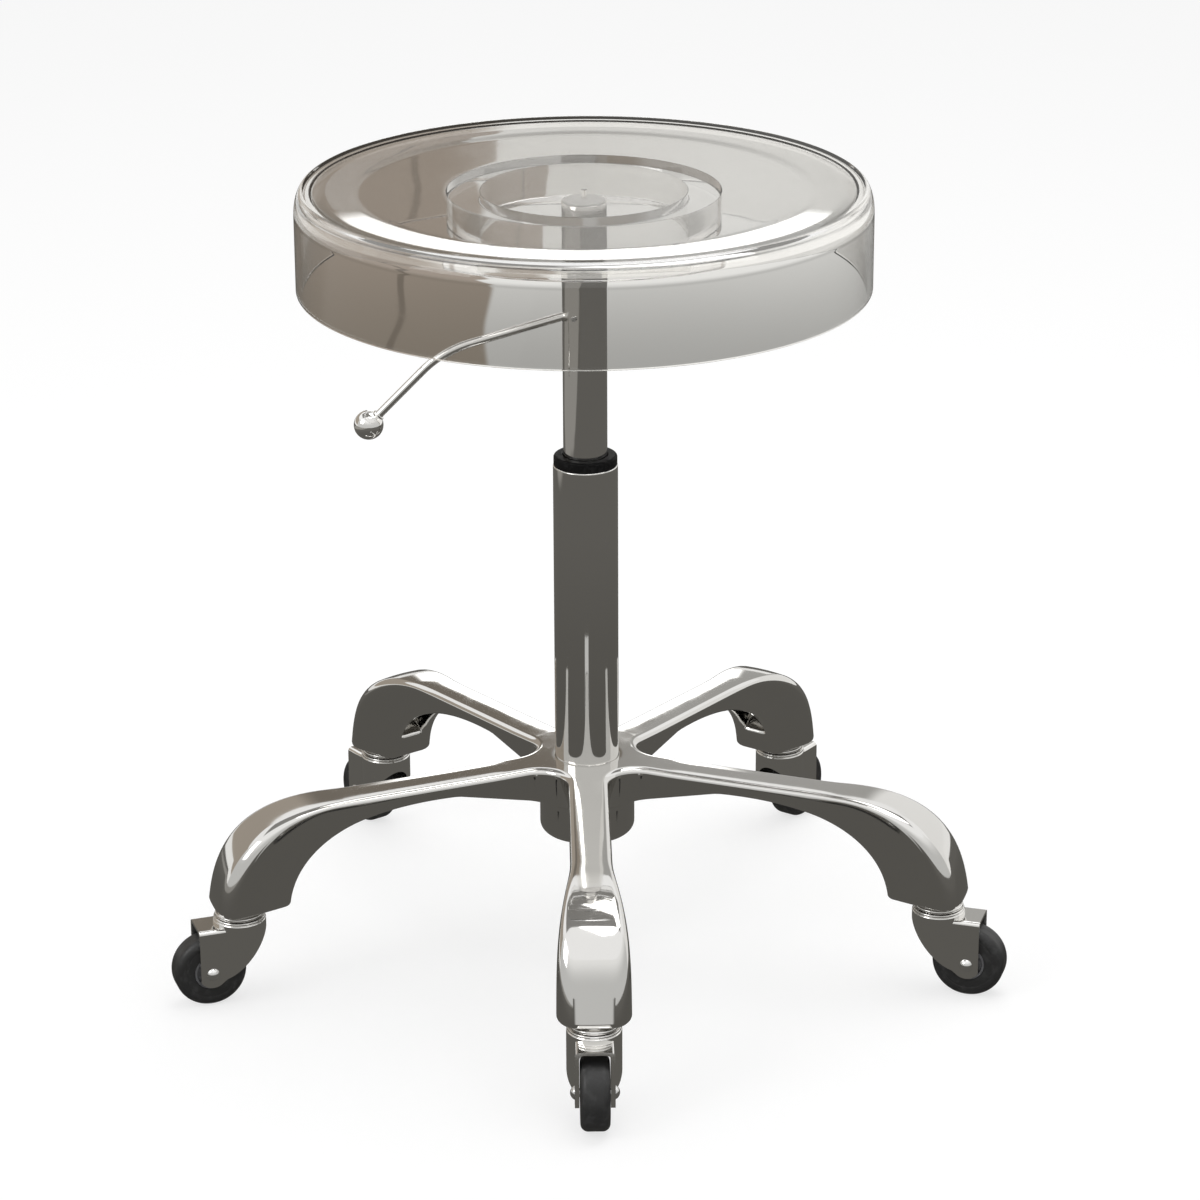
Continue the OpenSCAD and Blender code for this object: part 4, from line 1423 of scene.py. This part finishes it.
@dataclass
class Caster:
    """One swivel caster, round its stem's axis with its wheel behind along +X, in millimetres."""

    stem_circle_r: float = 252.2
    axle_z: float = 25.0
    trail: float = 22.8
    wheel_r: float = 25.0
    tyre_w: float = 19.4
    hub_r: float = 12.0
    axle_r: float = 3.0
    head_r: float = 4.5
    barrel_r: float = 18.2
    wall: float = 2.9
    top_z: float = 60.0
    top_t: float = 4.4
    drop: float = 2.4
    blend_r: float = 8.0
    lobe_r: float = 10.0
    lobe_meet: float = 0.72
    lobe_turn: Point = (-134.0, -32.0)
    sweep_rise: Size = (32.0, 29.0, 13.5)
    front_drop: float = 5.2
    flange: Size = (7.2, 6.5, 6.3)
    recess: float = 1.4
    lip_h: float = 1.8
    stem_r: float = 5.5
    cap_h: float = 3.0
    neck_h: float = 1.4
    cap_inset: float = 1.4
    neck_inset: float = 5.4
    side_gap: float = 0.5
    front: float = 8.5
    arch_r: float = 3.0
    head_h: float = 3.0
    rim: float = 1.5
    shoulder: float = 5.0
    clear: float = 0.05
    dome: float = 1.12
    dome_from: float = 0.62
    edge_r: float = 0.45
    edge_over: float = 35.0

    @property
    def cheek_in(self) -> float:
        """Distance of a cheek's inner face from the wheel's middle."""
        return self.tyre_w / 2 + self.side_gap

    @property
    def cheek_out(self) -> float:
        """Distance of a cheek's outer face from the wheel's middle."""
        return self.cheek_in + self.wall

    @property
    def reach(self) -> float:
        """Distance of the cheeks' front edges from the stem's axis."""
        return self.trail + self.front

    def slab(self, outline: Sequence[Point], axis: str, start: float, end: float) -> Shape:
        """A flat outline stretched along an axis.

        Args:
            outline: the outline's points.
            axis: X, Y or Z, the way that it is stretched.
            start: where it starts.
            end: where it ends.

        Returns:
            The slab.
        """
        at = "XYZ".index(axis)
        shape = Shape()
        corners = [shape.bm.verts.new((*p[:at], start, *p[at:])) for p in outline]
        out = bmesh.ops.extrude_face_region(shape.bm, geom=[shape.bm.faces.new(corners)])["geom"]
        way = [0.0, 0.0, 0.0]
        way[at] = end - start
        bmesh.ops.translate(shape.bm, vec=way,
                            verts=[v for v in out if isinstance(v, bmesh.types.BMVert)])
        bmesh.ops.recalc_face_normals(shape.bm, faces=shape.bm.faces)
        return shape

    def plan(self) -> list[Point]:
        """The fork from above: the round barrel, which blends into two straight cheeks.

        Returns:
            The outline's points.
        """
        r, b, w = self.barrel_r, self.blend_r, self.cheek_out
        at = math.sqrt((r + b) ** 2 - (w + b) ** 2)
        meet = math.degrees(math.atan2(w + b, at))
        half = arc(0, 0, r, 180, meet, 40)
        half += arc(at, w + b, b, 180 + meet, 270, 12)[1:] + [(self.reach, w)]
        return half + flipped(half)[:-1]

    def arch(self, half: float, top: float) -> Shape:
        """A round-cornered arch of a half width and height, over the wheel from stem to front.

        Args:
            half: half its width.
            top: height of its top.

        Returns:
            The arch as a solid.
        """
        r, low = self.arch_r, -10.0
        side = [(half, low)] + arc(half - r, top - r, r, 0, 90, 8)
        return self.slab(side + [(-x, z) for x, z in side[::-1]], "X", 0, self.reach + 5)

    def side(self) -> list[Point]:
        """The fork from its side: its lower edge sweeps from the barrel's back to the axle.

        Returns:
            The outline's points.
        """
        r, z, lobe, top = self.barrel_r, self.axle_z, self.lobe_r, self.top_z + 1
        first, second, third = self.sweep_rise
        meet = lobe * self.lobe_meet
        sweep = [(-r - 1, z + first), (-r, z + second), (-r * 0.6, z + third),
                 (self.trail - meet, z - meet)]
        line = [tuple(bezier(sweep, i / 20)) for i in range(20)]
        line += arc(self.trail, z, lobe, *self.lobe_turn, 24)
        return line + [(self.reach, z - self.front_drop), (self.reach, top), (-r - 1, top)]

    def fork(self) -> Shape:
        """The fork: barrel, two cheeks and the plate over the wheel, cut from solid shapes.

        Returns:
            The shape.
        """
        plate_z, roof = self.top_z - self.drop, self.top_z - self.top_t
        r, bore = self.barrel_r, self.barrel_r - self.wall
        column = self.slab(arc(0, 0, r + 0.01, 0, 360, 80)[:-1], "Z", -5, plate_z)
        block = self.arch(self.cheek_out, plate_z).combined(column, "UNION")
        barrel = Shape().lathed([(0.0, 0.0, 0), (r, 0.0, 0), (r, self.top_z, 0.9),
                                 (0.0, self.top_z, 0)], 4, False, 120)
        side = self.slab(self.side(), "Y", -r - 2, r + 2)
        hollow = Shape().turned([(0.0, -5.0), (bore, -5.0)] + arc(bore - 1, roof - 1, 1, 0, 90, 4)
                                + [(0.0, roof)], False, 100).tidy()
        hole = Shape().turned([(0.0, -30.0), (self.axle_r, -30.0), (self.axle_r, 30.0),
                               (0.0, 30.0)], False, 48, ACROSS).tidy()
        hole.move(shift(self.trail, 0, self.axle_z))
        body = self.slab(self.plan(), "Z", 0, plate_z)
        for tool, operation in (
                (block, "INTERSECT"), (barrel, "UNION"), (side, "INTERSECT"),
                (hollow, "DIFFERENCE"), (self.arch(self.cheek_in, roof), "DIFFERENCE"),
                (hole, "DIFFERENCE")):
            body = body.combined(tool, operation)
        body.tidy(0.01)
        body.edges_bevelled(self.edge_r, self.edge_over)
        return body.tidy(0.005)

    def raised_ring(self) -> Shape:
        """The rounded ring on the fork's top, round the bearing.

        Returns:
            The shape.
        """
        r, bore, low, top = self.barrel_r, self.stem_r + 0.3, self.top_z, self.top_z + self.lip_h
        return Shape().lathed([
            (bore, low - 0.3, 0), (r - 0.9, low - 0.3, 0), (r - 0.4, low + 0.4, 0.4),
            (r - 0.6, top, 1.0), (bore, top, 0)], 6)

    def cap(self) -> Shape:
        """The bearing's cap under the leg, with its narrower neck.

        Returns:
            The shape.
        """
        z = self.top_z + self.lip_h + 0.3
        cap_r, neck_r = self.barrel_r - self.cap_inset, self.barrel_r - self.neck_inset
        bore = self.stem_r + self.clear
        top = self.top_z + self.lip_h + self.cap_h
        return Shape().lathed([
            (bore, z, 0.2), (cap_r, z, 1.1), (cap_r, top, 1.3), (neck_r, top, 0.3),
            (neck_r, top + self.neck_h, 0.2), (bore, top + self.neck_h, 0.2)], 5)

    def axle(self) -> Shape:
        """The axle with a domed head at each end, along Y.

        Returns:
            The shape.
        """
        w, tip = self.cheek_out + self.clear, self.cheek_out + self.clear + self.head_h
        r, dome = self.head_r, self.head_r * self.dome
        rise = math.sqrt(dome * dome - r * r)
        start = math.degrees(math.asin(rise * self.dome_from / dome))
        cap = [(min(x, r), y) for x, y in arc(0, tip - dome, dome, start, 90, 14)[:-1]]
        half = [(self.axle_r, 0.0), (self.axle_r, w), (r - 0.2, w), (r, w + 0.2)] + cap
        half += [(0.0, tip)]
        return Shape().turned(flipped(half)[:-1] + half[1:], False, 64, ACROSS).tidy()

    def wheel_hub(self) -> Shape:
        """The wheel's plastic hub, with a recess in each face and a flange at its bore.

        Returns:
            The shape.
        """
        r, w, face = self.hub_r, self.tyre_w / 2, self.cheek_in - 0.3
        bore, low = self.axle_r + self.clear, w - self.recess
        foot, shoulder, end = self.flange
        half = [(r + self.rim, 0.0), (r + self.rim, 1.5), (r, 3.5), (r, w - 0.4), (r - 0.4, w),
                (r - 1.4, w), (r - 2.0, low), (foot, low), (shoulder, w - 0.6), (end, face),
                (bore + 0.3, face), (bore, face - 0.3)]
        return Shape().turned(half + flipped(half)[:-1], True, 96, ACROSS).tidy()

    def tyre(self) -> Shape:
        """The tyre: a flat tread with round shoulders and a faint parting line.

        Returns:
            The shape.
        """
        w, r, s = self.tyre_w / 2, self.wheel_r, self.shoulder
        bore = self.hub_r + self.clear
        half = [(bore + self.rim, 0.0), (bore + self.rim, 1.5), (bore, 3.4), (bore, w - 0.3),
                (self.hub_r + 0.4, w), (r - s - 2.2, w), (r - s - 1.8, w - 0.18),
                (r - s - 1.4, w)]
        half += arc(r - s, w - s, s, 90, 0, 12) + [(r, 0.35), (r - 0.12, 0.0)]
        return Shape().turned(half + flipped(half)[1:-1], True, 128, ACROSS).tidy()

    def build(self, chrome: bpy.types.Material, steel: bpy.types.Material,
              plastic: bpy.types.Material, rubber: bpy.types.Material) -> None:
        """Makes the pieces of all five casters.

        Args:
            chrome: finish of the forks and caps.
            steel: finish of the axles.
            plastic: finish of the wheels' hubs.
            rubber: finish of the tyres.
        """
        at_stem, at_axle = Matrix.Identity(4), shift(self.trail, 0, self.axle_z)
        kinds = (
            ("fork", self.fork(), at_stem, "caster_{}", ["fork"], Slot.FORK, chrome, 35.0),
            ("fork_ring", self.raised_ring(), at_stem, "caster_{}", [], Slot.FORK, chrome, 45.0),
            ("cap", self.cap(), at_stem, "base", ["bearing_cap"], Slot.FORK, chrome, 45.0),
            ("axle", self.axle(), at_axle, "caster_{}", ["axle"], Slot.STEEL, steel, 45.0),
            ("wheel_hub", self.wheel_hub(), at_axle, "wheel_{}", ["wheel_hub"], Slot.HUB,
             plastic, 40.0),
            ("tyre", self.tyre(), at_axle, "wheel_{}", ["tyre"], Slot.TYRE, rubber, 40.0))
        for k in LEGS:
            place = turn_z(leg_azimuth(k)) @ shift(self.stem_circle_r, 0, 0)
            for name, shape, local, body, nodes, slot, material, sharp in kinds:
                piece = shape.copy().move(place @ local).piece(f"caster_{name}_{k}", sharp)
                dress(piece, body.format(k), [f"{n}_{k}" for n in nodes], slot, material)


@dataclass
class Studio:
    """The floor, the lights, glowing cards whose painted reflections polished metal and glass show,
    and the camera.

    Where a colour changes on a card, two numbers give the place and the softness, in metres.
    """

    pale: Colour = (0.86, 0.86, 0.86)
    shade: Colour = (0.34, 0.34, 0.34)
    glow: float = 0.7
    floor_size: float = 40.0
    place: Size = (-0.03749, -2.56777, 1.237445)
    heading: float = 0.0183
    pitch: float = 0.364
    roll: float = -0.0041
    lens: float = 120.09
    lamps: tuple[tuple[str, Size, float, float], ...] = (
        ("overhead", (0.4, 0.3, 2.6), 1.8, 26.0), ("left", (-2.0, -1.2, 1.8), 1.2, 14.0))
    aim: Size = (0.0, 0.0, 0.3)
    soft_light: float = 0.6
    card_far: float = 3200.0
    wall_h: float = 2150.0
    front_h: float = 3000.0
    roof_z: float = 2600.0
    roof_size: tuple[float, float] = (3600.0, 2300.0)
    roof_front: float = -300.0
    # Where the painted curtain's edge and its painted dark crease lie, seen through the seat.
    curtain_edge: float = 0.085
    fold_at: float = 0.19
    # Painted reflections of a dark floor in metal; the floor itself is pale.
    floor_near: Colour = (0.105, 0.101, 0.092)
    floor_dark: Colour = (0.13, 0.125, 0.115)
    floor_light: Colour = (0.30, 0.291, 0.272)
    # Painted view through the seat: a light floor, and a taupe curtain with a painted dark crease.
    through_near: Colour = (0.40, 0.397, 0.382)
    through_far: Colour = (0.85, 0.845, 0.82)
    curtain_low: Colour = (0.205, 0.177, 0.143)
    curtain_high: Colour = (0.345, 0.29, 0.24)
    curtain_dark: Colour = (0.12, 0.10, 0.08)
    # Painted reflections of a wall behind, from left to right, pale low down, and a painted bright
    # highlight strip that glows past white.
    wall_left: Colour = (0.38, 0.337, 0.287)
    wall_middle: Colour = (0.19, 0.168, 0.142)
    wall_right: Colour = (0.40, 0.395, 0.38)
    wall_far_right: Colour = (0.88, 0.875, 0.86)
    wall_foot: Colour = (0.92, 0.915, 0.90)
    wall_band: Colour = (3.0, 3.0, 2.95)
    # Painted view through the seat of what stands behind: nearly white, with a taupe field.
    wall_taupe: Colour = (0.48, 0.42, 0.36)
    wall_pale: Colour = (1.1, 1.09, 1.06)
    wall_edges: tuple[Point, ...] = ((-0.75, 0.4), (0.1, 0.5), (0.95, 0.3))
    field_edges: tuple[Point, ...] = ((0.12, 0.1), (0.85, 0.4))
    near_edge: Point = (0.45, 0.7)
    light_edge: Point = (1.08, 0.06)
    far_edge: Point = (1.675, 0.75)
    front_edge: Point = (1.9, 2.0)
    foot_edge: Point = (0.042, 0.022)
    # Heights and half width of the painted highlight strip on the wall card.
    band: tuple[float, float] = (0.38, 1.22)
    band_half: float = 0.36
    # Painted reflection of a grey roof over the legs' tops.
    roof_grey: Colour = (0.26, 0.255, 0.245)
    # Painted reflection of a pale front, lighter upwards.
    front_low: Colour = (0.60, 0.60, 0.59)
    front_high: Colour = (0.92, 0.92, 0.91)
    # Size and place of the pale card that paints a highlight on the front leg's nose.
    foot_card: Size = (110.0, 92.0, -385.0)
    card_low: float = 2.0
    foot_low: float = 6.0
    behind_from: float = 300.0

    def floor(self) -> None:
        """A plain pale floor that fills the view and keeps the shadow."""
        bpy.ops.mesh.primitive_plane_add(size=self.floor_size, location=(0, 0, 0))
        floor = bpy.context.object
        floor.name = "floor"
        g = Graph("pale_floor")
        seen = g.node("ShaderNodeLightPath").outputs
        shade = g.node("ShaderNodeBsdfDiffuse", None, {"Color": self.shade})
        glow = g.node("ShaderNodeEmission", None, {"Color": (1.0, 1.0, 1.0), "Strength": self.glow})
        both = g.node("ShaderNodeAddShader", None, {0: shade.outputs[0], 1: glow.outputs[0]})
        plain = g.node("ShaderNodeBsdfDiffuse", None, {"Color": self.pale})
        pick = Val(g, seen["Is Camera Ray"]) + Val(g, seen["Is Glossy Ray"]) + Val(
            g, seen["Is Transmission Ray"])
        blend = g.node("ShaderNodeMixShader", None,
                       {0: pick, 1: plain.outputs[0], 2: both.outputs[0]})
        g.feed(g.output.inputs["Surface"], blend.outputs[0])
        floor.data.materials.append(g.material)

    def card(self, name: str, shape: Shape, mirrored: Callable[[Graph], object],
             through: Callable[[Graph], object]) -> None:
        """A glowing card that only metal and glass show, which paints reflections into them, like
        the card a photographer hangs beside chrome.

        Args:
            name: the card's name.
            shape: its shape in millimetres.
            mirrored: gives the painted reflection that polished surfaces mirror.
            through: gives the painted view that shows through the clear seat.
        """
        g = Graph(name)
        light = g.node("ShaderNodeLightPath").outputs
        colour = g.blend(Val(g, light["Is Transmission Ray"]), mirrored(g), through(g))
        glow = g.node("ShaderNodeEmission", None, {"Color": colour, "Strength": 1.0})
        g.feed(g.output.inputs["Surface"], glow.outputs[0])
        held = shape.piece(name)
        held.data.materials.append(g.material)
        # Hidden from the camera, from diffuse light and from shadows: the card only paints
        # reflections.
        held.visible_camera = held.visible_diffuse = held.visible_shadow = False

    def cards(self) -> None:
        """Glowing cards round the stool that paint reflections into metal and glass: a dark floor,
        a curtain and a wall behind, a pale front, a grey roof and a pale card before the front leg.
        """
        low, far = self.card_low, self.card_far
        # A dark disc just over the floor that paints a dark floor into the reflections of metal.
        disc = Shape().turned([(0.0, low), (far, low)], False, 96)
        self.card("floor_card", disc, self.floor_mirrored, self.floor_through)
        # A wall behind and a pale front round the stool: painted reflections, and a painted view
        # through the seat.
        for name, behind, height, mirrored, through in (
                ("wall_card", True, self.wall_h, self.wall_mirrored, self.wall_through),
                ("front_card", False, self.front_h, self.front_mirrored, self.front_mirrored)):
            wall = Shape().turned([(far, low), (far, height)], False, 96)
            bmesh.ops.delete(wall.bm, context="FACES", geom=[
                f for f in wall.bm.faces
                if (f.calc_center_median().y < self.behind_from) == behind])
            self.card(name, wall, mirrored, through)
        # A grey roof card, painted into the reflections on the tops of the legs.
        roof = self.sheet(*self.roof_size)
        roof.move(shift(0.0, self.roof_front + self.roof_size[1] / 2, self.roof_z))
        self.card("roof_card", roof, lambda g: self.roof_grey, lambda g: self.roof_grey)
        # A pale upright card before the front leg, which paints a highlight on its nose.
        width, height, front = self.foot_card
        foot = self.sheet(width, height).move(Matrix.Rotation(math.radians(90), 4, "X"))
        foot.move(shift(0.0, front, height / 2 + self.foot_low))
        self.card("foot_card", foot, self.foot_mirrored, self.foot_mirrored)

    def sheet(self, width: float, depth: float) -> Shape:
        """A level rectangle round the origin.

        Args:
            width: its size along X.
            depth: its size along Y.

        Returns:
            The rectangle.
        """
        shape = Shape()
        bmesh.ops.create_grid(shape.bm, x_segments=1, y_segments=1, size=0.5)
        return shape.move(Matrix.Diagonal((width, depth, 1.0, 1.0)))

    def floor_mirrored(self, g: Graph) -> object:
        """Painted dark reflection of a floor for metal, darker near the stool, with a painted
        lighter reflection far out on the left; the real floor is pale.

        Args:
            g: the nodes of the card's material.

        Returns:
            The colour.
        """
        x, y = g.along("X"), g.along("Y")
        dark = g.blend((x * x + y * y).over(*self.near_edge), self.floor_near, self.floor_dark)
        pale = ((y + 0.15).size * 0.25 - x).over(*self.light_edge) * (0.0 - y).over(-0.9, 0.3)
        return g.blend(pale, dark, self.floor_light)

    def floor_through(self, g: Graph) -> object:
        """Painted view through the seat: a taupe curtain with a painted dark crease on the left and
        a light floor on the right.

        Args:
            g: the nodes of the card's material.

        Returns:
            The colour.
        """
        x, y = g.along("X"), g.along("Y")
        wave = (g.noise(0.35, 1.0) - 0.5) * 0.05
        side = (0.0 - x + wave).over(self.curtain_edge, 0.008)
        # A painted dark crease line in the painted curtain.
        painted_crease = 1.0 - ((x + self.fold_at + wave * 1.4).size).over(0.0045, 0.003)
        far = y.over(*self.far_edge)
        painted_curtain = g.blend(painted_crease * 0.7, g.blend(far, self.curtain_low, self.curtain_high),
                        self.curtain_dark)
        return g.blend(side, g.blend(far, self.through_near, self.through_far), painted_curtain)

    def wall_mirrored(self, g: Graph) -> object:
        """Painted reflection of a wall for metal: taupe on the left, grey on the right, pale low
        down, and a painted bright highlight low in the middle that glows past white.

        Args:
            g: the nodes of the card's material.

        Returns:
            The colour.
        """
        x, z = g.along("X"), g.along("Z")
        wall = self.wall_left
        for edge, colour in zip(self.wall_edges, (self.wall_middle, self.wall_right,
                                                  self.wall_far_right)):
            wall = g.blend(x.over(*edge), wall, colour)
        high = z.over(self.band[0], 0.05)
        painted_highlight = high * (1.0 - z.over(self.band[1], 0.06))
        painted_highlight = painted_highlight * (1.0 - x.size.over(self.band_half, 0.1))
        return g.blend(painted_highlight, g.blend(high, self.wall_foot, wall), self.wall_band)

    def wall_through(self, g: Graph) -> object:
        """Painted view through the seat: nearly white, with a taupe field left of the middle.

        Args:
            g: the nodes of the card's material.

        Returns:
            The colour.
        """
        left = 0.0 - g.along("X")
        start, end = self.field_edges
        taupe = left.over(*start) * (1.0 - left.over(*end))
        return g.blend(taupe, self.wall_pale, self.wall_taupe)

    def foot_mirrored(self, g: Graph) -> object:
        """Painted highlight on the front leg's nose: pale grey that fades into the painted dark
        floor reflection at both ends.
        """
        return g.blend(g.along("X").size.over(*self.foot_edge), self.front_low, self.floor_near)

    def front_mirrored(self, g: Graph) -> object:
        """Painted reflection for metal and glass: pale grey that grows lighter upwards."""
        return g.blend(g.along("Z").over(*self.front_edge), self.front_low, self.front_high)

    def surroundings(self) -> None:
        """The world: even soft light, and white where the camera, metal or glass sees it."""
        world = bpy.data.worlds.new("studio")
        bpy.context.scene.world = world
        world.use_nodes = True
        tree = world.node_tree
        back = tree.nodes["Background"]
        back.inputs["Color"].default_value = (1.0, 1.0, 1.0, 1.0)
        seen = tree.nodes.new("ShaderNodeLightPath").outputs
        level = tree.nodes.new("ShaderNodeMapRange")
        level.inputs["To Min"].default_value = 1.0
        level.inputs["To Max"].default_value = self.soft_light
        tree.links.new(seen["Is Diffuse Ray"], level.inputs["Value"])
        tree.links.new(level.outputs["Result"], back.inputs["Strength"])

    def lights(self) -> None:
        """A large soft light overhead and a smaller one from the left."""
        for name, place, size, power in self.lamps:
            data = bpy.data.lights.new(name, "AREA")
            data.shape = "SQUARE"
            data.size = size
            data.energy = power
            lamp = bpy.data.objects.new(name, data)
            bpy.context.scene.collection.objects.link(lamp)
            lamp.location = place
            way = Vector(self.aim) - Vector(place)
            lamp.rotation_euler = way.to_track_quat("-Z", "Y").to_euler()

    def camera(self) -> None:
        """The camera at the photograph's place."""
        data = bpy.data.cameras.new("camera")
        data.sensor_width = 36.0
        data.lens = self.lens
        data.clip_end = 60.0
        camera = bpy.data.objects.new("camera", data)
        bpy.context.scene.collection.objects.link(camera)
        turn, tilt = self.heading, self.pitch
        ahead = Vector((math.sin(turn) * math.cos(tilt), math.cos(turn) * math.cos(tilt),
                        -math.sin(tilt)))
        right = ahead.cross(Vector((0, 0, 1))).normalized()
        up = right.cross(ahead)
        side = right * math.cos(self.roll) + up * math.sin(self.roll)
        top = up * math.cos(self.roll) - right * math.sin(self.roll)
        matrix = Matrix((side, top, -ahead)).transposed().to_4x4()
        matrix.translation = Vector(self.place)
        camera.matrix_world = matrix
        bpy.context.scene.camera = camera

    def build(self) -> None:
        """Makes the studio."""
        self.camera()
        self.floor()
        self.cards()
        self.surroundings()
        self.lights()
        bpy.context.scene.view_settings.view_transform = "Standard"


def dress_hidden(steel: bpy.types.Material, finishes: dict[str, bpy.types.Material]) -> None:
    """Gives the CAD nodes that still show their finishes.

    Args:
        steel: the finish of every node that isn't named.
        finishes: the finish of the named nodes.
    """
    for name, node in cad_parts.items():
        if not node.hide_render:
            node.data.materials.clear()
            node.data.materials.append(finishes.get(name, steel))


def main() -> None:
    """Builds the studio and the stool and gives every piece to the frame."""
    logging.basicConfig(level=logging.INFO, format="%(message)s")
    Studio().build()
    clear = ClearAcrylic().build()
    tube = PolishedMetal("tube_chrome", (0.80, 0.79, 0.77), (0.77, 0.76, 0.74), 0.03, 0.05,
                         grain=(1.0, 1.0, 0.06)).build()
    cast = PolishedMetal("polished_cast", (0.80, 0.79, 0.77), (0.76, 0.75, 0.73), 0.05, 0.05,
                         0.00008, 0.03).build()
    chrome = PolishedMetal("bright_chrome", (0.92, 0.91, 0.89), (0.89, 0.88, 0.86), 0.05,
                           0.06, 0.00003, 0.01).build()
    steel = MachinedSteel("turned_steel", (0.62, 0.62, 0.61)).build()
    rivet = PolishedMetal("polished_rivet", (0.90, 0.90, 0.89), (0.84, 0.84, 0.83), 0.12).build()
    nylon = MouldedPlastic("black_nylon", (0.006, 0.006, 0.006), 0.5, gloss=0.1).build()
    tyre = MouldedPlastic("tyre_rubber", (0.022, 0.022, 0.022), 0.36).build()
    plastic = MouldedPlastic("wheel_plastic", (0.11, 0.11, 0.115), 0.4).build()
    Seat().build(clear)
    Column().build(tube, nylon, MouldedPlastic("pale_lacquer", (0.88, 0.88, 0.87), 0.25).build())
    Lever().build(chrome)
    StarBase().build(cast)
    Caster().build(chrome, rivet, plastic, tyre)
    dress_hidden(steel, {
        "piston_rod": chrome, "rod_guide": nylon,
        "gas_cylinder": MouldedPlastic("black_lacquer", (0.02, 0.02, 0.021), 0.22).build(),
        "rubber_bumper": MouldedPlastic("bumper_rubber", (0.02, 0.02, 0.02), 0.7).build(),
        "release_button": MachinedSteel("brass", (0.80, 0.62, 0.30), 0.2).build()})


if __name__ == "__main__":
    main()
